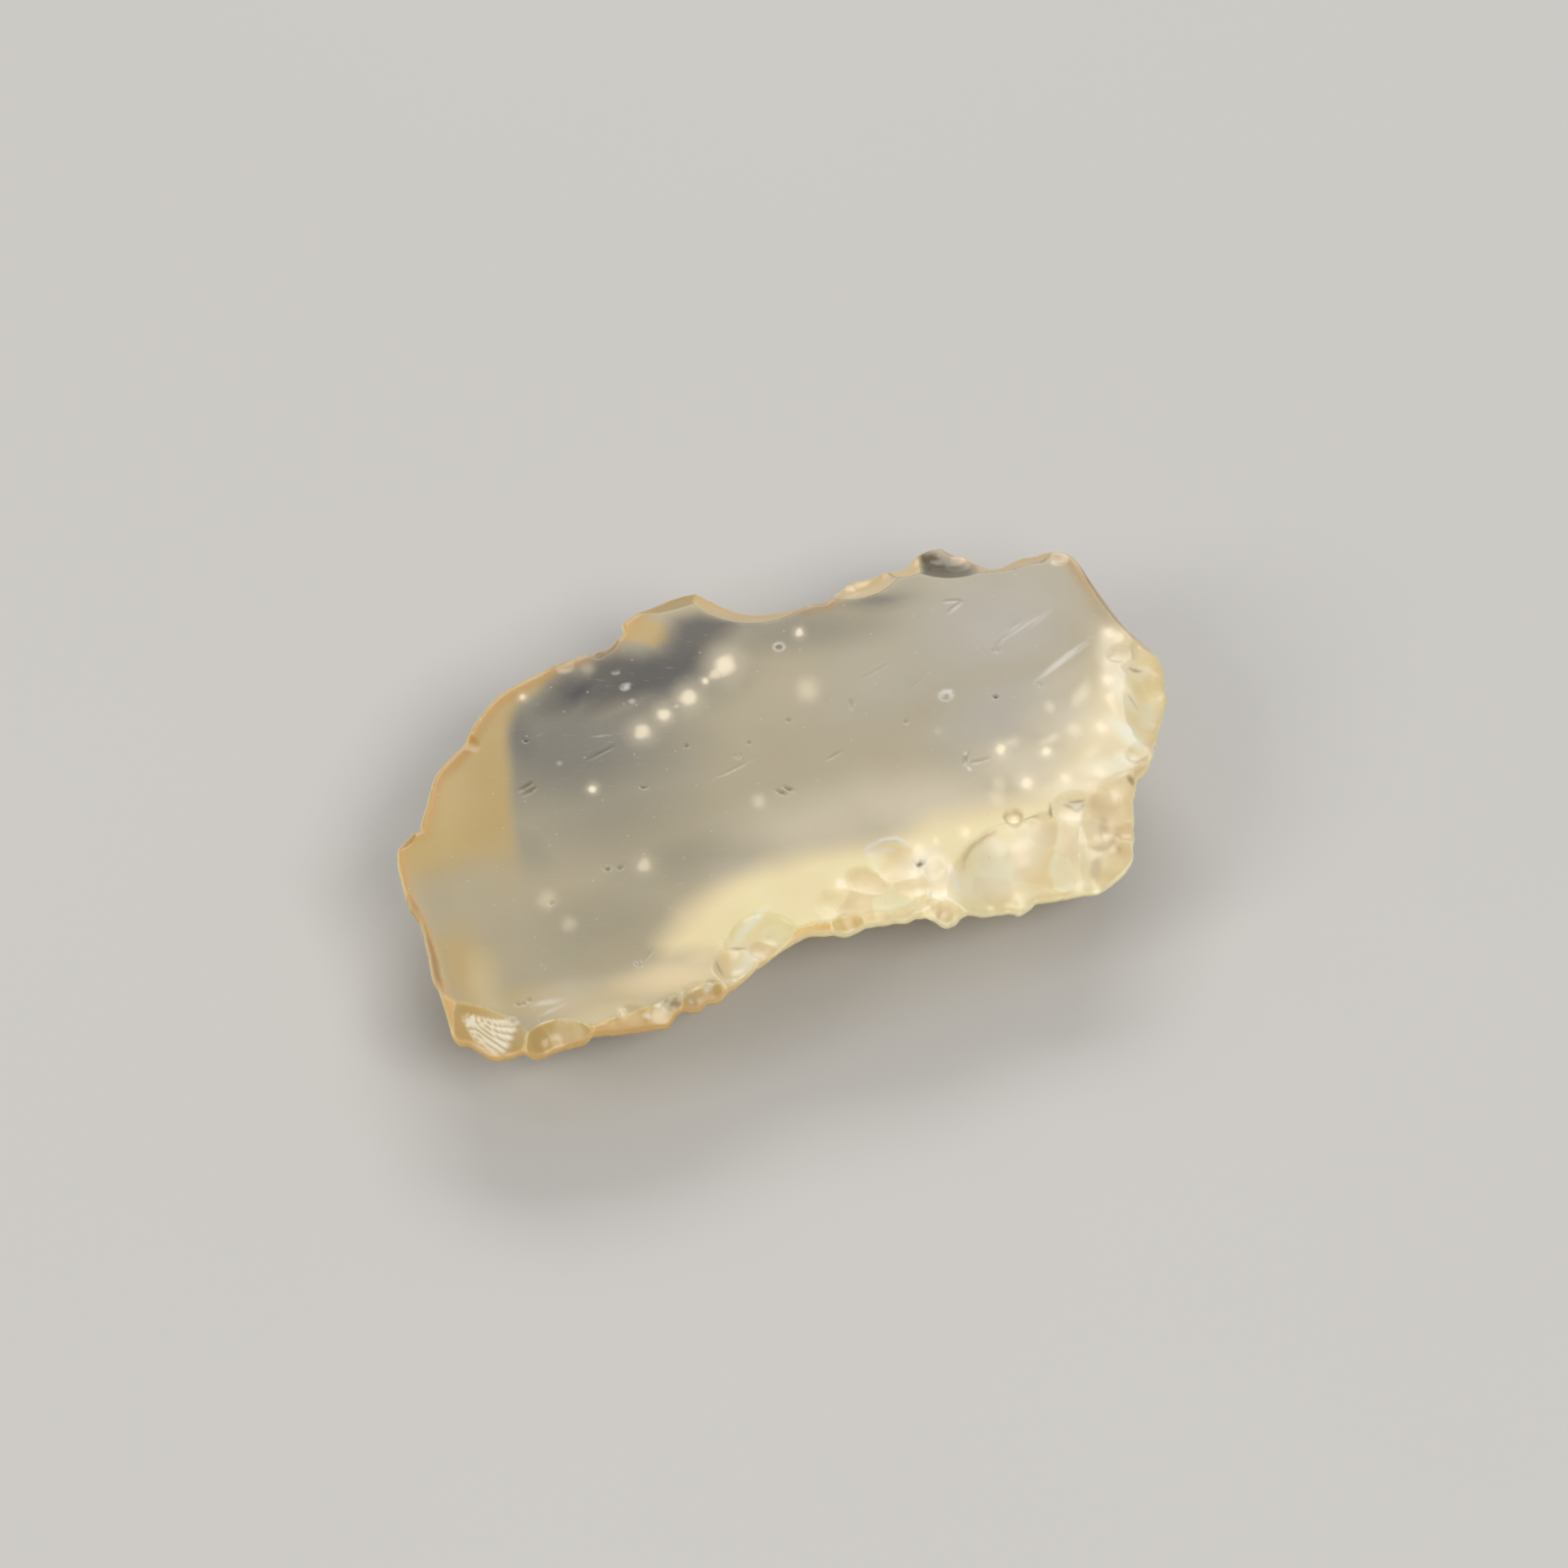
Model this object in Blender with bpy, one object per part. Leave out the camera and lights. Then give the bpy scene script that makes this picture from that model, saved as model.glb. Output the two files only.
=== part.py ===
"""Raw Libyan desert glass: one natural flake of milky, pale yellow silica glass, lying on its flat underside.

The edge is a smooth curve through points read off the stone. Above it lies a nearly flat face, cut along the
edge by the round bowls that struck chips leave. Below it, broad flat breaks slope in to the rest underneath.
Sizes are in millimetres, and the mesh is made in metres. X runs along the stone, Y across it and Z up.
"""

import math

import bpy
import numpy as np
from mathutils import Vector
from mathutils.geometry import delaunay_2d_cdt
from mathutils.kdtree import KDTree

MM = 0.001

# Thickness under the middle of the face, and how fast the face climbs towards the tip, as a slope
FACE_HEIGHT = 4.35
FACE_CLIMB = 0.022

# The edge seen from above, in order from the left tip along the back, round the right tip and home by the front
LEFT_TIP = [(-12.5, 3.1), (-12.25, 3.45), (-11.8, 3.65), (-11.5, 3.65), (-11.4, 3.9)]
LEFT_SHOULDER = [
    (-11.2, 4.2), (-10.9, 4.65), (-10.65, 5.1), (-10.3, 5.6), (-9.75, 6.05), (-9.15, 6.4), (-8.85, 6.6),
    (-8.5, 7.0), (-8.1, 7.4), (-7.4, 7.95), (-6.6, 8.3), (-5.6, 8.5), (-4.6, 8.7), (-3.9, 8.7), (-3.3, 8.85),
    (-2.9, 8.8), (-2.4, 8.95), (-2.2, 9.1), (-2.1, 9.45),
]
HUMP = [(-1.6, 9.65), (-0.9, 9.95), (-0.2, 10.2), (0.35, 10.2), (0.85, 10.0), (1.15, 9.7), (1.8, 8.9)]
BACK_BAY = [(2.2, 8.55), (2.8, 8.3), (3.35, 8.1), (3.9, 7.8), (4.15, 7.8), (4.65, 7.7)]
BACK_STEP = [(5.1, 8.05), (5.6, 8.5), (6.15, 8.65), (6.8, 8.5), (7.1, 8.5), (7.8, 8.4)]
PEAK = [(8.25, 8.7), (8.7, 8.95), (9.1, 9.05), (9.4, 9.0), (9.55, 8.75), (9.8, 8.45), (10.05, 8.25), (10.2, 7.65)]
SADDLE = [(10.4, 7.1), (10.6, 7.0), (11.15, 7.15), (11.6, 7.25), (12.0, 7.15), (12.4, 7.05)]
BACK_CORNER = [(12.75, 6.75), (13.05, 6.45), (13.2, 6.0), (13.3, 5.3), (13.45, 4.4), (13.55, 3.4), (13.7, 2.7)]
RIGHT_TIP = [
    (13.9, 2.3), (14.05, 1.7), (14.15, 1.2), (14.1, 0.7), (13.9, 0.2), (13.8, -0.25), (13.5, -0.65),
    (13.1, -1.25), (12.6, -2.0), (12.2, -2.7), (11.85, -3.1), (11.5, -3.3),
]
RIGHT_EDGE = [(11.3, -3.4), (11.1, -3.7), (10.85, -4.1), (10.7, -4.5), (10.5, -4.95), (10.2, -5.7)]
FRONT_RIGHT_CORNER = [(10.0, -6.05), (9.65, -6.3), (9.25, -6.45), (8.9, -6.6), (8.45, -6.75)]
FRONT_RIGHT = [
    (7.9, -6.65), (7.0, -6.4), (6.5, -6.2), (6.2, -6.35), (5.85, -6.5), (5.65, -6.5), (5.35, -6.3), (4.5, -6.3),
    (3.8, -6.25), (3.5, -6.35), (3.15, -6.3), (2.75, -6.0), (2.3, -5.9), (1.9, -5.95), (1.15, -5.7), (0.0, -5.6),
]
FRONT_BAY = [
    (-0.85, -5.4), (-1.45, -5.3), (-2.15, -5.4), (-2.8, -5.6), (-3.4, -5.85), (-4.1, -6.2), (-4.7, -6.45),
    (-5.25, -6.4), (-5.65, -6.5), (-6.3, -6.55), (-6.55, -6.65), (-6.8, -6.75),
]
FRONT_LEFT = [
    (-7.3, -6.65), (-8.0, -6.55), (-8.8, -6.45), (-9.4, -6.4), (-9.9, -6.2), (-10.4, -6.15), (-10.9, -6.2),
    (-11.25, -6.25), (-11.65, -6.0), (-12.0, -5.85),
]
FRONT_LEFT_CORNER = [(-12.3, -5.7), (-12.55, -5.45), (-12.75, -5.1), (-12.95, -4.8), (-13.25, -4.6), (-13.35, -4.3)]
LEFT_EDGE = [
    (-13.3, -3.75), (-13.25, -2.7), (-13.2, -2.1), (-13.0, -1.1), (-12.85, 0.05), (-12.9, 0.7), (-12.9, 1.4),
    (-12.8, 2.1), (-12.65, 2.7),
]
EDGE_POINTS = [
    *LEFT_TIP, *LEFT_SHOULDER, *HUMP, *BACK_BAY, *BACK_STEP, *PEAK, *SADDLE, *BACK_CORNER, *RIGHT_TIP,
    *RIGHT_EDGE, *FRONT_RIGHT_CORNER, *FRONT_RIGHT, *FRONT_BAY, *FRONT_LEFT, *FRONT_LEFT_CORNER, *LEFT_EDGE,
]

# Bowls cut into the face: middle x and y, the radius of the rim where each meets the face, and its depth
FACE_BOWLS = {
    "fan scar": (-14.4, -6.5, 3.3, 1.3),
    "fan scar side": (-15.6, -4.9, 3.0, 1.4),
    "left edge bevel": (-22.7, -0.1, 10.0, 4.66),
    "front lobe": (-10.5, -6.9, 1.45, 0.9),
    "front strip": (-8.0, -13.1, 7.0, 3.0),
    "front shelf": (-5.3, -7.3, 1.3, 0.8),
    "cream lobe": (-2.75, -5.15, 1.2, 0.35),
    "cream lobe in front": (-3.75, -5.75, 0.95, 0.4),
    "olive scoop": (-1.7, -9.2, 4.2, 1.6),
    "front roll": (1.6, -9.9, 4.5, 1.0),
    "low notch": (0.0, -6.0, 0.9, 0.5),
    "front right scoop": (6.35, -6.7, 3.05, 1.15),
    "front right notch": (3.3, -7.0, 1.3, 0.9),
    "corner front facet": (9.1, -7.3, 2.7, 1.1),
    "corner side facet": (11.0, -5.6, 2.5, 0.65),
    "right edge strip": (14.4, -7.4, 5.0, 2.6),
    "notch chip": (11.7, -3.9, 0.9, 0.45),
    "tip scoop": (15.6, -1.6, 3.7, 1.2),
    "back right bevel": (23.15, 4.8, 10.0, 4.66),
    "back strip": (11.5, 10.5, 4.0, 1.26),
    "peak right": (9.7, 9.0, 2.15, 0.75),
    "peak left": (7.9, 9.1, 1.5, 0.6),
    "back chip": (6.1, 9.3, 2.0, 0.7),
    "bay strip": (3.0, 10.3, 2.75, 0.9),
    "hump strip": (0.0, 12.3, 2.95, 0.93),
    "shoulder chip": (-3.1, 9.1, 0.7, 0.3),
    "ring chip": (-6.45, -6.45, 0.4, 0.22),
    "rim crater": (2.6, -5.7, 0.35, 0.2),
}

# Flat breaks below the edge: each starts on the rest, along a line from the first point to the second, and
# climbs to the right of that line at so many degrees
BREAKS = {
    "front left": ((-12.0, -3.5), (-2.0, -3.8), 45),
    "front right": ((-2.0, -3.8), (9.0, -3.4), 44),
    "right": ((8.46, -4.7), (12.36, 2.2), 60),
    "back right": ((12.4, 1.0), (11.5, 6.0), 66),
    "left shoulder": ((-4.55, 7.05), (-10.15, 2.75), 58),
    "left": ((-10.5, 3.0), (-11.7, -3.6), 61),
    "under the back": ((10.0, 4.6), (-5.0, 6.2), 21),
    "under the tip": ((6.5, -5.0), (8.8, 8.0), 11),
    "under the left end": ((-6.6, 8.0), (-5.2, -5.0), 9),
}
# The plain wall under the edge, where no flat break cuts it back: steep by the edge, with a broader wall under
# it that follows the edge more loosely. Both lean in the more, the more they face the front
WALL_SLOPE = math.radians(79)
BROAD_SLOPE = math.radians(66)
FRONT_WALL_SLOPE = math.radians(48)
FRONT_WAY = (-0.37, -0.93)  # the way that the front faces
LEAST_SHARE = 0.05  # the least share of the way to the front that counts
FACING_REACH = 0.75  # how far along the edge, to each side, the way that it faces is evened out
BROAD_REACH = 1.5  # how far the broad wall's own outline is
BROAD_GAP = 0.25  # and how far in from that outline it lies

# Hollows in those breaks: the break, where its middle lies, the radius of the ball that fits it, and its depth
HOLLOWS = [
    ("front left", -9.9, -4.6, 5.5, 0.45),
    ("front left", -5.9, -5.2, 2.6, 0.3),
    ("front right", -0.9, -4.7, 4.2, 1.0),
    ("front right", 4.1, -4.9, 7.0, 0.5),
    ("front right", 8.0, -5.3, 2.4, 0.3),
    ("right", 11.9, -0.9, 4.0, 0.3),
    ("back right", 12.7, 4.2, 4.0, 0.2),
    ("left shoulder", -8.0, 5.3, 5.0, 0.35),
    ("left", -12.1, 0.2, 4.0, 0.3),
    ("under the back", 5.5, 6.6, 7.0, 0.3),
    ("under the left end", -9.6, 1.0, 12.0, 0.25),
]

EDGE_DROP = 0.1  # how far the rounded edge lies below the face
EDGE_ROUND = 0.18  # how far in the rounding reaches
LIP_START = 0.3  # the least thickness of the wedge that a break leaves, one edge rounding in
LIP_SLOPE = 0.7  # how fast that wedge grows from there
LIP_REACH = 1.2  # how far in it has its say
LIP_RETURN = 2.1  # and how fast it gives way to the rest of the underside past that

# Spacing of the mesh's points: along the edge, near a ridge, and in the open
EDGE_STEP = 0.25
RIDGE_STEP = 0.3
OPEN_STEP = 1.2
RIDGE_REACH = 0.55
ONTO_RIDGE = 0.6  # points within this share of a step are moved onto the ridge
LEAST_GAP = 0.5  # and those left closer than this share of a step to another are dropped
CLEAR_OF_RING = 0.4  # open points keep this share of a step clear of the row inside the edge
RIDGE_CLEAR_OF_RING = 0.2  # and ridge points this share
RING_DEPTH = 0.8  # a point of that row is kept where it lies at least this share of the rounding in
CURVE_PIECES = 12  # straight pieces between two outline points, before the edge's own steps are taken
NUDGE = 0.01  # how far off the slope of a gap is felt
LEAST_STEEPNESS = 0.05
CLOSE = 1e-5  # points nearer than this are one
SMOOTH_ANGLE = math.radians(28)

GLASS_COLOUR = (0.66, 0.58, 0.40)
GLASS_ROUGHNESS = 0.3
GLASS_IOR = 1.46
GLASS_TRANSMISSION = 0.5


def clear_scene():
    for old in list(bpy.data.objects):
        bpy.data.objects.remove(old, do_unlink=True)


def edge_curve(points, step):
    """Closed curve through the points, as points a step apart, anticlockwise."""
    points = np.array(points[::-1], float)
    before, after, beyond = (np.roll(points, shift, axis=0) for shift in (1, -1, -2))
    fine = []
    for t in np.linspace(0, 1, CURVE_PIECES, endpoint=False):
        fine.append(
            0.5 * (2 * points + (after - before) * t + (2 * before - 5 * points + 4 * after - beyond) * t**2
                   + (3 * points - before - 3 * after + beyond) * t**3)
        )
    fine = np.stack(fine, axis=1).reshape(-1, 2)
    closed = np.vstack([fine, fine[:1]])
    run = np.concatenate([[0], np.cumsum(np.linalg.norm(np.diff(closed, axis=0), axis=1))])
    count = round(run[-1] / step)
    at = np.arange(count) * run[-1] / count
    return np.stack([np.interp(at, run, closed[:, axis]) for axis in (0, 1)], axis=1)


def inside(points, edge):
    """Which points lie within the edge."""
    x, y = points[:, :1], points[:, 1:]
    x0, y0 = edge.T
    x1, y1 = np.roll(edge, -1, axis=0).T
    spans = (y0 > y) != (y1 > y)
    run = np.where(y1 == y0, 1, y1 - y0)
    return ((x < x0 + (x1 - x0) * (y - y0) / run) & spans).sum(axis=1) % 2 == 1


def edge_distance(points, edge):
    """How far in from the edge each point lies, and the number of the edge point nearest to it."""
    start, along = edge, np.roll(edge, -1, axis=0) - edge
    offset = points[:, None] - start
    share = np.clip((offset * along).sum(axis=2) / (along**2).sum(axis=1), 0, 1)
    gap = np.linalg.norm(offset - share[..., None] * along, axis=2)
    nearest = gap.argmin(axis=1)
    share = share[np.arange(len(points)), nearest]
    return gap.min(axis=1), (nearest + (share > 0.5)) % len(edge)


def face_plane(x):
    return FACE_HEIGHT + FACE_CLIMB * x


def face_surface(points):
    """Height of the face over each point, and how far above it the next bowl or plane lies: nothing on a ridge."""
    x, y = points.T
    layers = [face_plane(x)]
    for middle_x, middle_y, radius, depth in FACE_BOWLS.values():
        ball = (radius**2 + depth**2) / (2 * depth)
        reach = (x - middle_x) ** 2 + (y - middle_y) ** 2
        layers.append(face_plane(x) - depth + ball - np.sqrt(np.maximum(ball**2 - reach, 0)))
    low, second = np.sort(layers, axis=0)[:2]
    return low, second - low


def break_height(name, x, y):
    start, end, degrees = BREAKS[name]
    length = math.dist(start, end)
    out_x, out_y = (end[1] - start[1]) / length, (start[0] - end[0]) / length
    return ((x - start[0]) * out_x + (y - start[1]) * out_y) * math.tan(math.radians(degrees))


def hollow_height(name, middle_x, middle_y, ball, depth, x, y):
    """Top of the ball that scoops a hollow out of a break, or the floor where the ball isn't over the point."""
    start, end, degrees = BREAKS[name]
    length, tilt = math.dist(start, end), math.radians(degrees)
    out_x, out_y = (end[1] - start[1]) / length, (start[0] - end[0]) / length
    away = ball - depth
    ball_x = middle_x + away * math.sin(tilt) * out_x
    ball_y = middle_y + away * math.sin(tilt) * out_y
    ball_z = break_height(name, middle_x, middle_y) - away * math.cos(tilt)
    reach = ball**2 - (x - ball_x) ** 2 - (y - ball_y) ** 2
    return np.where(reach > 0, ball_z + np.sqrt(np.maximum(reach, 0)), 0)


def inward_way(edge):
    """The way in from each edge point, level and one long."""
    across = np.roll(edge, -1, axis=0) - np.roll(edge, 1, axis=0)
    return np.stack([-across[:, 1], across[:, 0]], axis=1) / np.linalg.norm(across, axis=1)[:, None]


def evened(values, reach):
    """Values along the edge, each the mean of those within a reach of it to both sides."""
    steps = round(reach / EDGE_STEP)
    return np.mean([np.roll(values, shift, axis=0) for shift in range(-steps, steps + 1)], axis=0)


def wall_fall(edge, slope):
    """How fast a wall falls under each edge point, for each millimetre in."""
    share = np.maximum(evened(-inward_way(edge) @ FRONT_WAY, FACING_REACH), LEAST_SHARE)
    return np.minimum(math.tan(slope), math.tan(FRONT_WALL_SLOPE) / share)


def broad_wall(points, edge, edge_top):
    """Height of the broad wall over each point: it runs on upwards outside its own outline."""
    outline = evened(edge, BROAD_REACH)
    gap, nearest = edge_distance(points, outline)
    depth_in = np.where(inside(points, outline), gap, -gap) + BROAD_GAP
    return evened(edge_top, BROAD_REACH)[nearest] - wall_fall(edge, BROAD_SLOPE)[nearest] * depth_in


def under_surface(points, edge, edge_top):
    """Height of the underside over each point, and how far off the next layer lies: nothing on a ridge."""
    x, y = points.T
    depth_in, nearest = edge_distance(points, edge)
    layers = [np.zeros(len(x)), edge_top[nearest] - wall_fall(edge, WALL_SLOPE)[nearest] * depth_in]
    layers.append(broad_wall(points, edge, edge_top))
    layers += [break_height(name, x, y) for name in BREAKS]
    layers += [hollow_height(*hollow, x, y) for hollow in HOLLOWS]
    second, high = np.sort(layers, axis=0)[-2:]
    lip = edge_top[nearest] - LIP_START * np.minimum(depth_in / EDGE_ROUND, 1) - LIP_SLOPE * depth_in
    lip += LIP_RETURN * np.maximum(depth_in - LIP_REACH, 0)
    to_lip = np.abs(high - lip)
    return np.minimum(high, lip), np.where(high < lip, np.minimum(high - second, to_lip), to_lip)


def lattice(edge, step):
    """Points of a triangular grid within the edge."""
    low, high = edge.min(axis=0) - step, edge.max(axis=0) + step
    rise = step * math.sqrt(3) / 2
    rows, columns = np.arange(math.ceil((high[1] - low[1]) / rise)), np.arange(math.ceil((high[0] - low[0]) / step))
    row, column = (grid.ravel() for grid in np.meshgrid(rows, columns, indexing="ij"))
    points = np.stack([low[0] + (column + 0.5 * (row % 2)) * step, low[1] + row * rise], axis=1)
    return points[inside(points, edge)]


def ridge_distance(points, surface):
    """Distance of each point to the nearest ridge of a surface, and the way to it."""
    here = surface(points)[1]
    east = surface(points + [NUDGE, 0])[1]
    north = surface(points + [0, NUDGE])[1]
    slope = np.stack([east - here, north - here], axis=1) / NUDGE
    steep = np.maximum(np.linalg.norm(slope, axis=1), LEAST_STEEPNESS)
    return here / steep, -slope / steep[:, None]


def thinned(points, gap, kept_first):
    """The points without those that lie closer than the gap to one before them. The first few all stay."""
    tree = KDTree(len(points))
    for number, (x, y) in enumerate(points):
        tree.insert((x, y, 0), number)
    tree.balance()
    dropped = set()
    for number, (x, y) in enumerate(points):
        if number in dropped:
            continue
        for _, other, _ in tree.find_range((x, y, 0), gap):
            if other > number and other >= kept_first:
                dropped.add(other)
    return points[[number for number in range(len(points)) if number not in dropped]]


def inner_points(edge, surface):
    """Points for the mesh within the edge: close together by the ridges and wide apart in the open."""
    ring = edge + inward_way(edge) * EDGE_ROUND
    ring = ring[inside(ring, edge)]
    ring = ring[edge_distance(ring, edge)[0] > RING_DEPTH * EDGE_ROUND]

    fine = lattice(edge, RIDGE_STEP)
    distance, way = ridge_distance(fine, surface)
    near = distance < ONTO_RIDGE * RIDGE_STEP
    on_ridge = fine[near] + (way * distance[:, None])[near]
    by_ridge = fine[~near & (distance < RIDGE_REACH)]
    wide = lattice(edge, OPEN_STEP)
    in_open = wide[ridge_distance(wide, surface)[0] >= RIDGE_REACH]

    kept = [ring]
    clear_by = {RIDGE_CLEAR_OF_RING: [on_ridge], CLEAR_OF_RING: [by_ridge, in_open]}
    for share, sets in clear_by.items():
        for points in sets:
            points = points[inside(points, edge)]
            kept.append(points[edge_distance(points, edge)[0] > EDGE_ROUND + share * RIDGE_STEP])
    return thinned(np.vstack(kept), LEAST_GAP * RIDGE_STEP, len(ring))


def skin(edge, points):
    """Triangles over the edge and the points within it, as places and faces. The edge's points come first."""
    given = len(edge) + len(points)
    places = [Vector(place) for place in np.vstack([edge, points])]
    loop = list(range(len(edge)))
    places, _, faces, origin, _, _ = delaunay_2d_cdt(places, [], [loop], 1, CLOSE)
    order = sorted(range(len(places)), key=lambda i: min(origin[i], default=given))
    number = {old: new for new, old in enumerate(order)}
    flat = np.array([places[i] for i in order])
    return flat, [[number[i] for i in face] for face in faces]


def glass_material():
    material = bpy.data.materials.new("pale yellow glass")
    material.use_nodes = True
    shader = material.node_tree.nodes["Principled BSDF"]
    shader.inputs["Base Color"].default_value = (*GLASS_COLOUR, 1)
    shader.inputs["Roughness"].default_value = GLASS_ROUGHNESS
    shader.inputs["Metallic"].default_value = 0
    shader.inputs["IOR"].default_value = GLASS_IOR
    shader.inputs["Transmission Weight"].default_value = GLASS_TRANSMISSION
    return material


def make_glass():
    edge = edge_curve(EDGE_POINTS, EDGE_STEP)
    edge_top = face_surface(edge)[0] - EDGE_DROP

    def below(points):
        return under_surface(points, edge, edge_top)

    top_flat, top_faces = skin(edge, inner_points(edge, face_surface))
    low_flat, low_faces = skin(edge, inner_points(edge, below))
    count = len(edge)
    places = np.vstack([
        np.column_stack([edge, edge_top]),
        np.column_stack([top_flat[count:], face_surface(top_flat[count:])[0]]),
        np.column_stack([low_flat[count:], below(low_flat[count:])[0]]),
    ])
    shift = len(top_flat) - count
    low_faces = [[i if i < count else i + shift for i in face[::-1]] for face in low_faces]

    # The origin is the middle of the box on the rest
    middle = (edge.min(axis=0) + edge.max(axis=0)) / 2
    places[:, :2] -= middle
    mesh = bpy.data.meshes.new("desert_glass")
    mesh.from_pydata((places * MM).tolist(), [], top_faces + low_faces)
    mesh.validate()
    mesh.shade_smooth()
    mesh.set_sharp_from_angle(angle=SMOOTH_ANGLE)
    mesh.materials.append(glass_material())
    glass = bpy.data.objects.new("desert_glass", mesh)
    bpy.context.scene.collection.objects.link(glass)


clear_scene()
make_glass()
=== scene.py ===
"""The looks of a raw flake of Libyan desert glass: milky, pale yellow natural glass with a nearly flat face.

The flake is drawn in millimetres, in the same way as its solid: a nearly flat face cut by the round bowls of
struck chips, over a rest with broad breaks. Here it has its rounded rim, ripples, pits, scratches and grain.
The mesh is then moved over the middle of the flake's box and made in metres.
"""

import math

import bpy
import numpy as np
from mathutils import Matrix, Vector, noise
from mathutils.geometry import delaunay_2d_cdt
from mathutils.kdtree import KDTree


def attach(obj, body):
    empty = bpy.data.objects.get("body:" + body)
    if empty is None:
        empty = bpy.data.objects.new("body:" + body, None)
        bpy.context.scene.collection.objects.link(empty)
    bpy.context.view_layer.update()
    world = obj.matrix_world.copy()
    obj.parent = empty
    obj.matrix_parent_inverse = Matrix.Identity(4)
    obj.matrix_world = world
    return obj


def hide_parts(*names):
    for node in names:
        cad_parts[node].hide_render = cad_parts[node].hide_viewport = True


MM = 0.001
PHOTO_SIDE = 1600  # pixels

# Thickness under the middle of the face, and how fast the face climbs towards the tip, as a slope
FACE_HEIGHT = 4.35
FACE_CLIMB = 0.022

# The edge seen from above, in order from the left tip by the back to the right tip, and home by the front
LEFT_TIP = [(-12.5, 3.1), (-12.25, 3.45), (-11.8, 3.65), (-11.5, 3.65), (-11.4, 3.9)]
LEFT_SHOULDER = [
    (-11.2, 4.2), (-10.9, 4.65), (-10.65, 5.1), (-10.3, 5.6), (-9.75, 6.05), (-9.15, 6.4), (-8.85, 6.6),
    (-8.5, 7.0), (-8.1, 7.4), (-7.4, 7.95), (-6.6, 8.3), (-5.6, 8.5), (-4.6, 8.7), (-3.9, 8.7), (-3.3, 8.85),
    (-2.9, 8.8), (-2.4, 8.95), (-2.2, 9.1), (-2.1, 9.45),
]
HUMP = [(-1.6, 9.65), (-0.9, 9.95), (-0.2, 10.2), (0.35, 10.2), (0.85, 10.0), (1.15, 9.7), (1.8, 8.9)]
BACK_BAY = [(2.2, 8.55), (2.8, 8.3), (3.35, 8.1), (3.9, 7.8), (4.15, 7.8), (4.65, 7.7)]
BACK_STEP = [(5.1, 8.05), (5.6, 8.5), (6.15, 8.65), (6.8, 8.5), (7.1, 8.5), (7.8, 8.4)]
PEAK = [
    (8.25, 8.7), (8.7, 8.95), (9.1, 9.05), (9.4, 9.0), (9.55, 8.75), (9.8, 8.45), (10.05, 8.25),
    (10.2, 7.65),
]
SADDLE = [(10.4, 7.1), (10.6, 7.0), (11.15, 7.15), (11.6, 7.25), (12.0, 7.15), (12.4, 7.05)]
BACK_CORNER = [
    (12.75, 6.75), (13.05, 6.45), (13.2, 6.0), (13.3, 5.3), (13.45, 4.4), (13.55, 3.4), (13.7, 2.7),
]
RIGHT_TIP = [
    (13.9, 2.3), (14.05, 1.7), (14.15, 1.2), (14.1, 0.7), (13.9, 0.2), (13.8, -0.25), (13.5, -0.65),
    (13.1, -1.25), (12.6, -2.0), (12.2, -2.7), (11.85, -3.1), (11.5, -3.3),
]
RIGHT_EDGE = [(11.3, -3.4), (11.1, -3.7), (10.85, -4.1), (10.7, -4.5), (10.5, -4.95), (10.2, -5.7)]
FRONT_RIGHT_CORNER = [(10.0, -6.05), (9.65, -6.3), (9.25, -6.45), (8.9, -6.6), (8.45, -6.75)]
FRONT_RIGHT = [
    (7.9, -6.65), (7.0, -6.4), (6.5, -6.2), (6.2, -6.35), (5.85, -6.5), (5.65, -6.5), (5.35, -6.3),
    (4.5, -6.3), (3.8, -6.25), (3.5, -6.35), (3.15, -6.3), (2.75, -6.0), (2.3, -5.9), (1.9, -5.95),
    (1.15, -5.7), (0.0, -5.6),
]
FRONT_BAY = [
    (-0.85, -5.4), (-1.45, -5.3), (-2.15, -5.4), (-2.8, -5.6), (-3.4, -5.85), (-4.1, -6.2), (-4.7, -6.45),
    (-5.25, -6.4), (-5.65, -6.5), (-6.3, -6.55), (-6.55, -6.65), (-6.8, -6.75),
]
FRONT_LEFT = [
    (-7.3, -6.65), (-8.0, -6.55), (-8.8, -6.45), (-9.4, -6.4), (-9.9, -6.2), (-10.4, -6.15), (-10.9, -6.2),
    (-11.25, -6.25), (-11.65, -6.0), (-12.0, -5.85),
]
FRONT_LEFT_CORNER = [
    (-12.3, -5.7), (-12.55, -5.45), (-12.75, -5.1), (-12.95, -4.8), (-13.25, -4.6), (-13.35, -4.3),
]
LEFT_EDGE = [
    (-13.3, -3.75), (-13.25, -2.7), (-13.2, -2.1), (-13.0, -1.1), (-12.85, 0.05), (-12.9, 0.7), (-12.9, 1.4),
    (-12.8, 2.1), (-12.65, 2.7),
]
EDGE_POINTS = [
    *LEFT_TIP, *LEFT_SHOULDER, *HUMP, *BACK_BAY, *BACK_STEP, *PEAK, *SADDLE, *BACK_CORNER, *RIGHT_TIP,
    *RIGHT_EDGE, *FRONT_RIGHT_CORNER, *FRONT_RIGHT, *FRONT_BAY, *FRONT_LEFT, *FRONT_LEFT_CORNER, *LEFT_EDGE,
]

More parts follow.
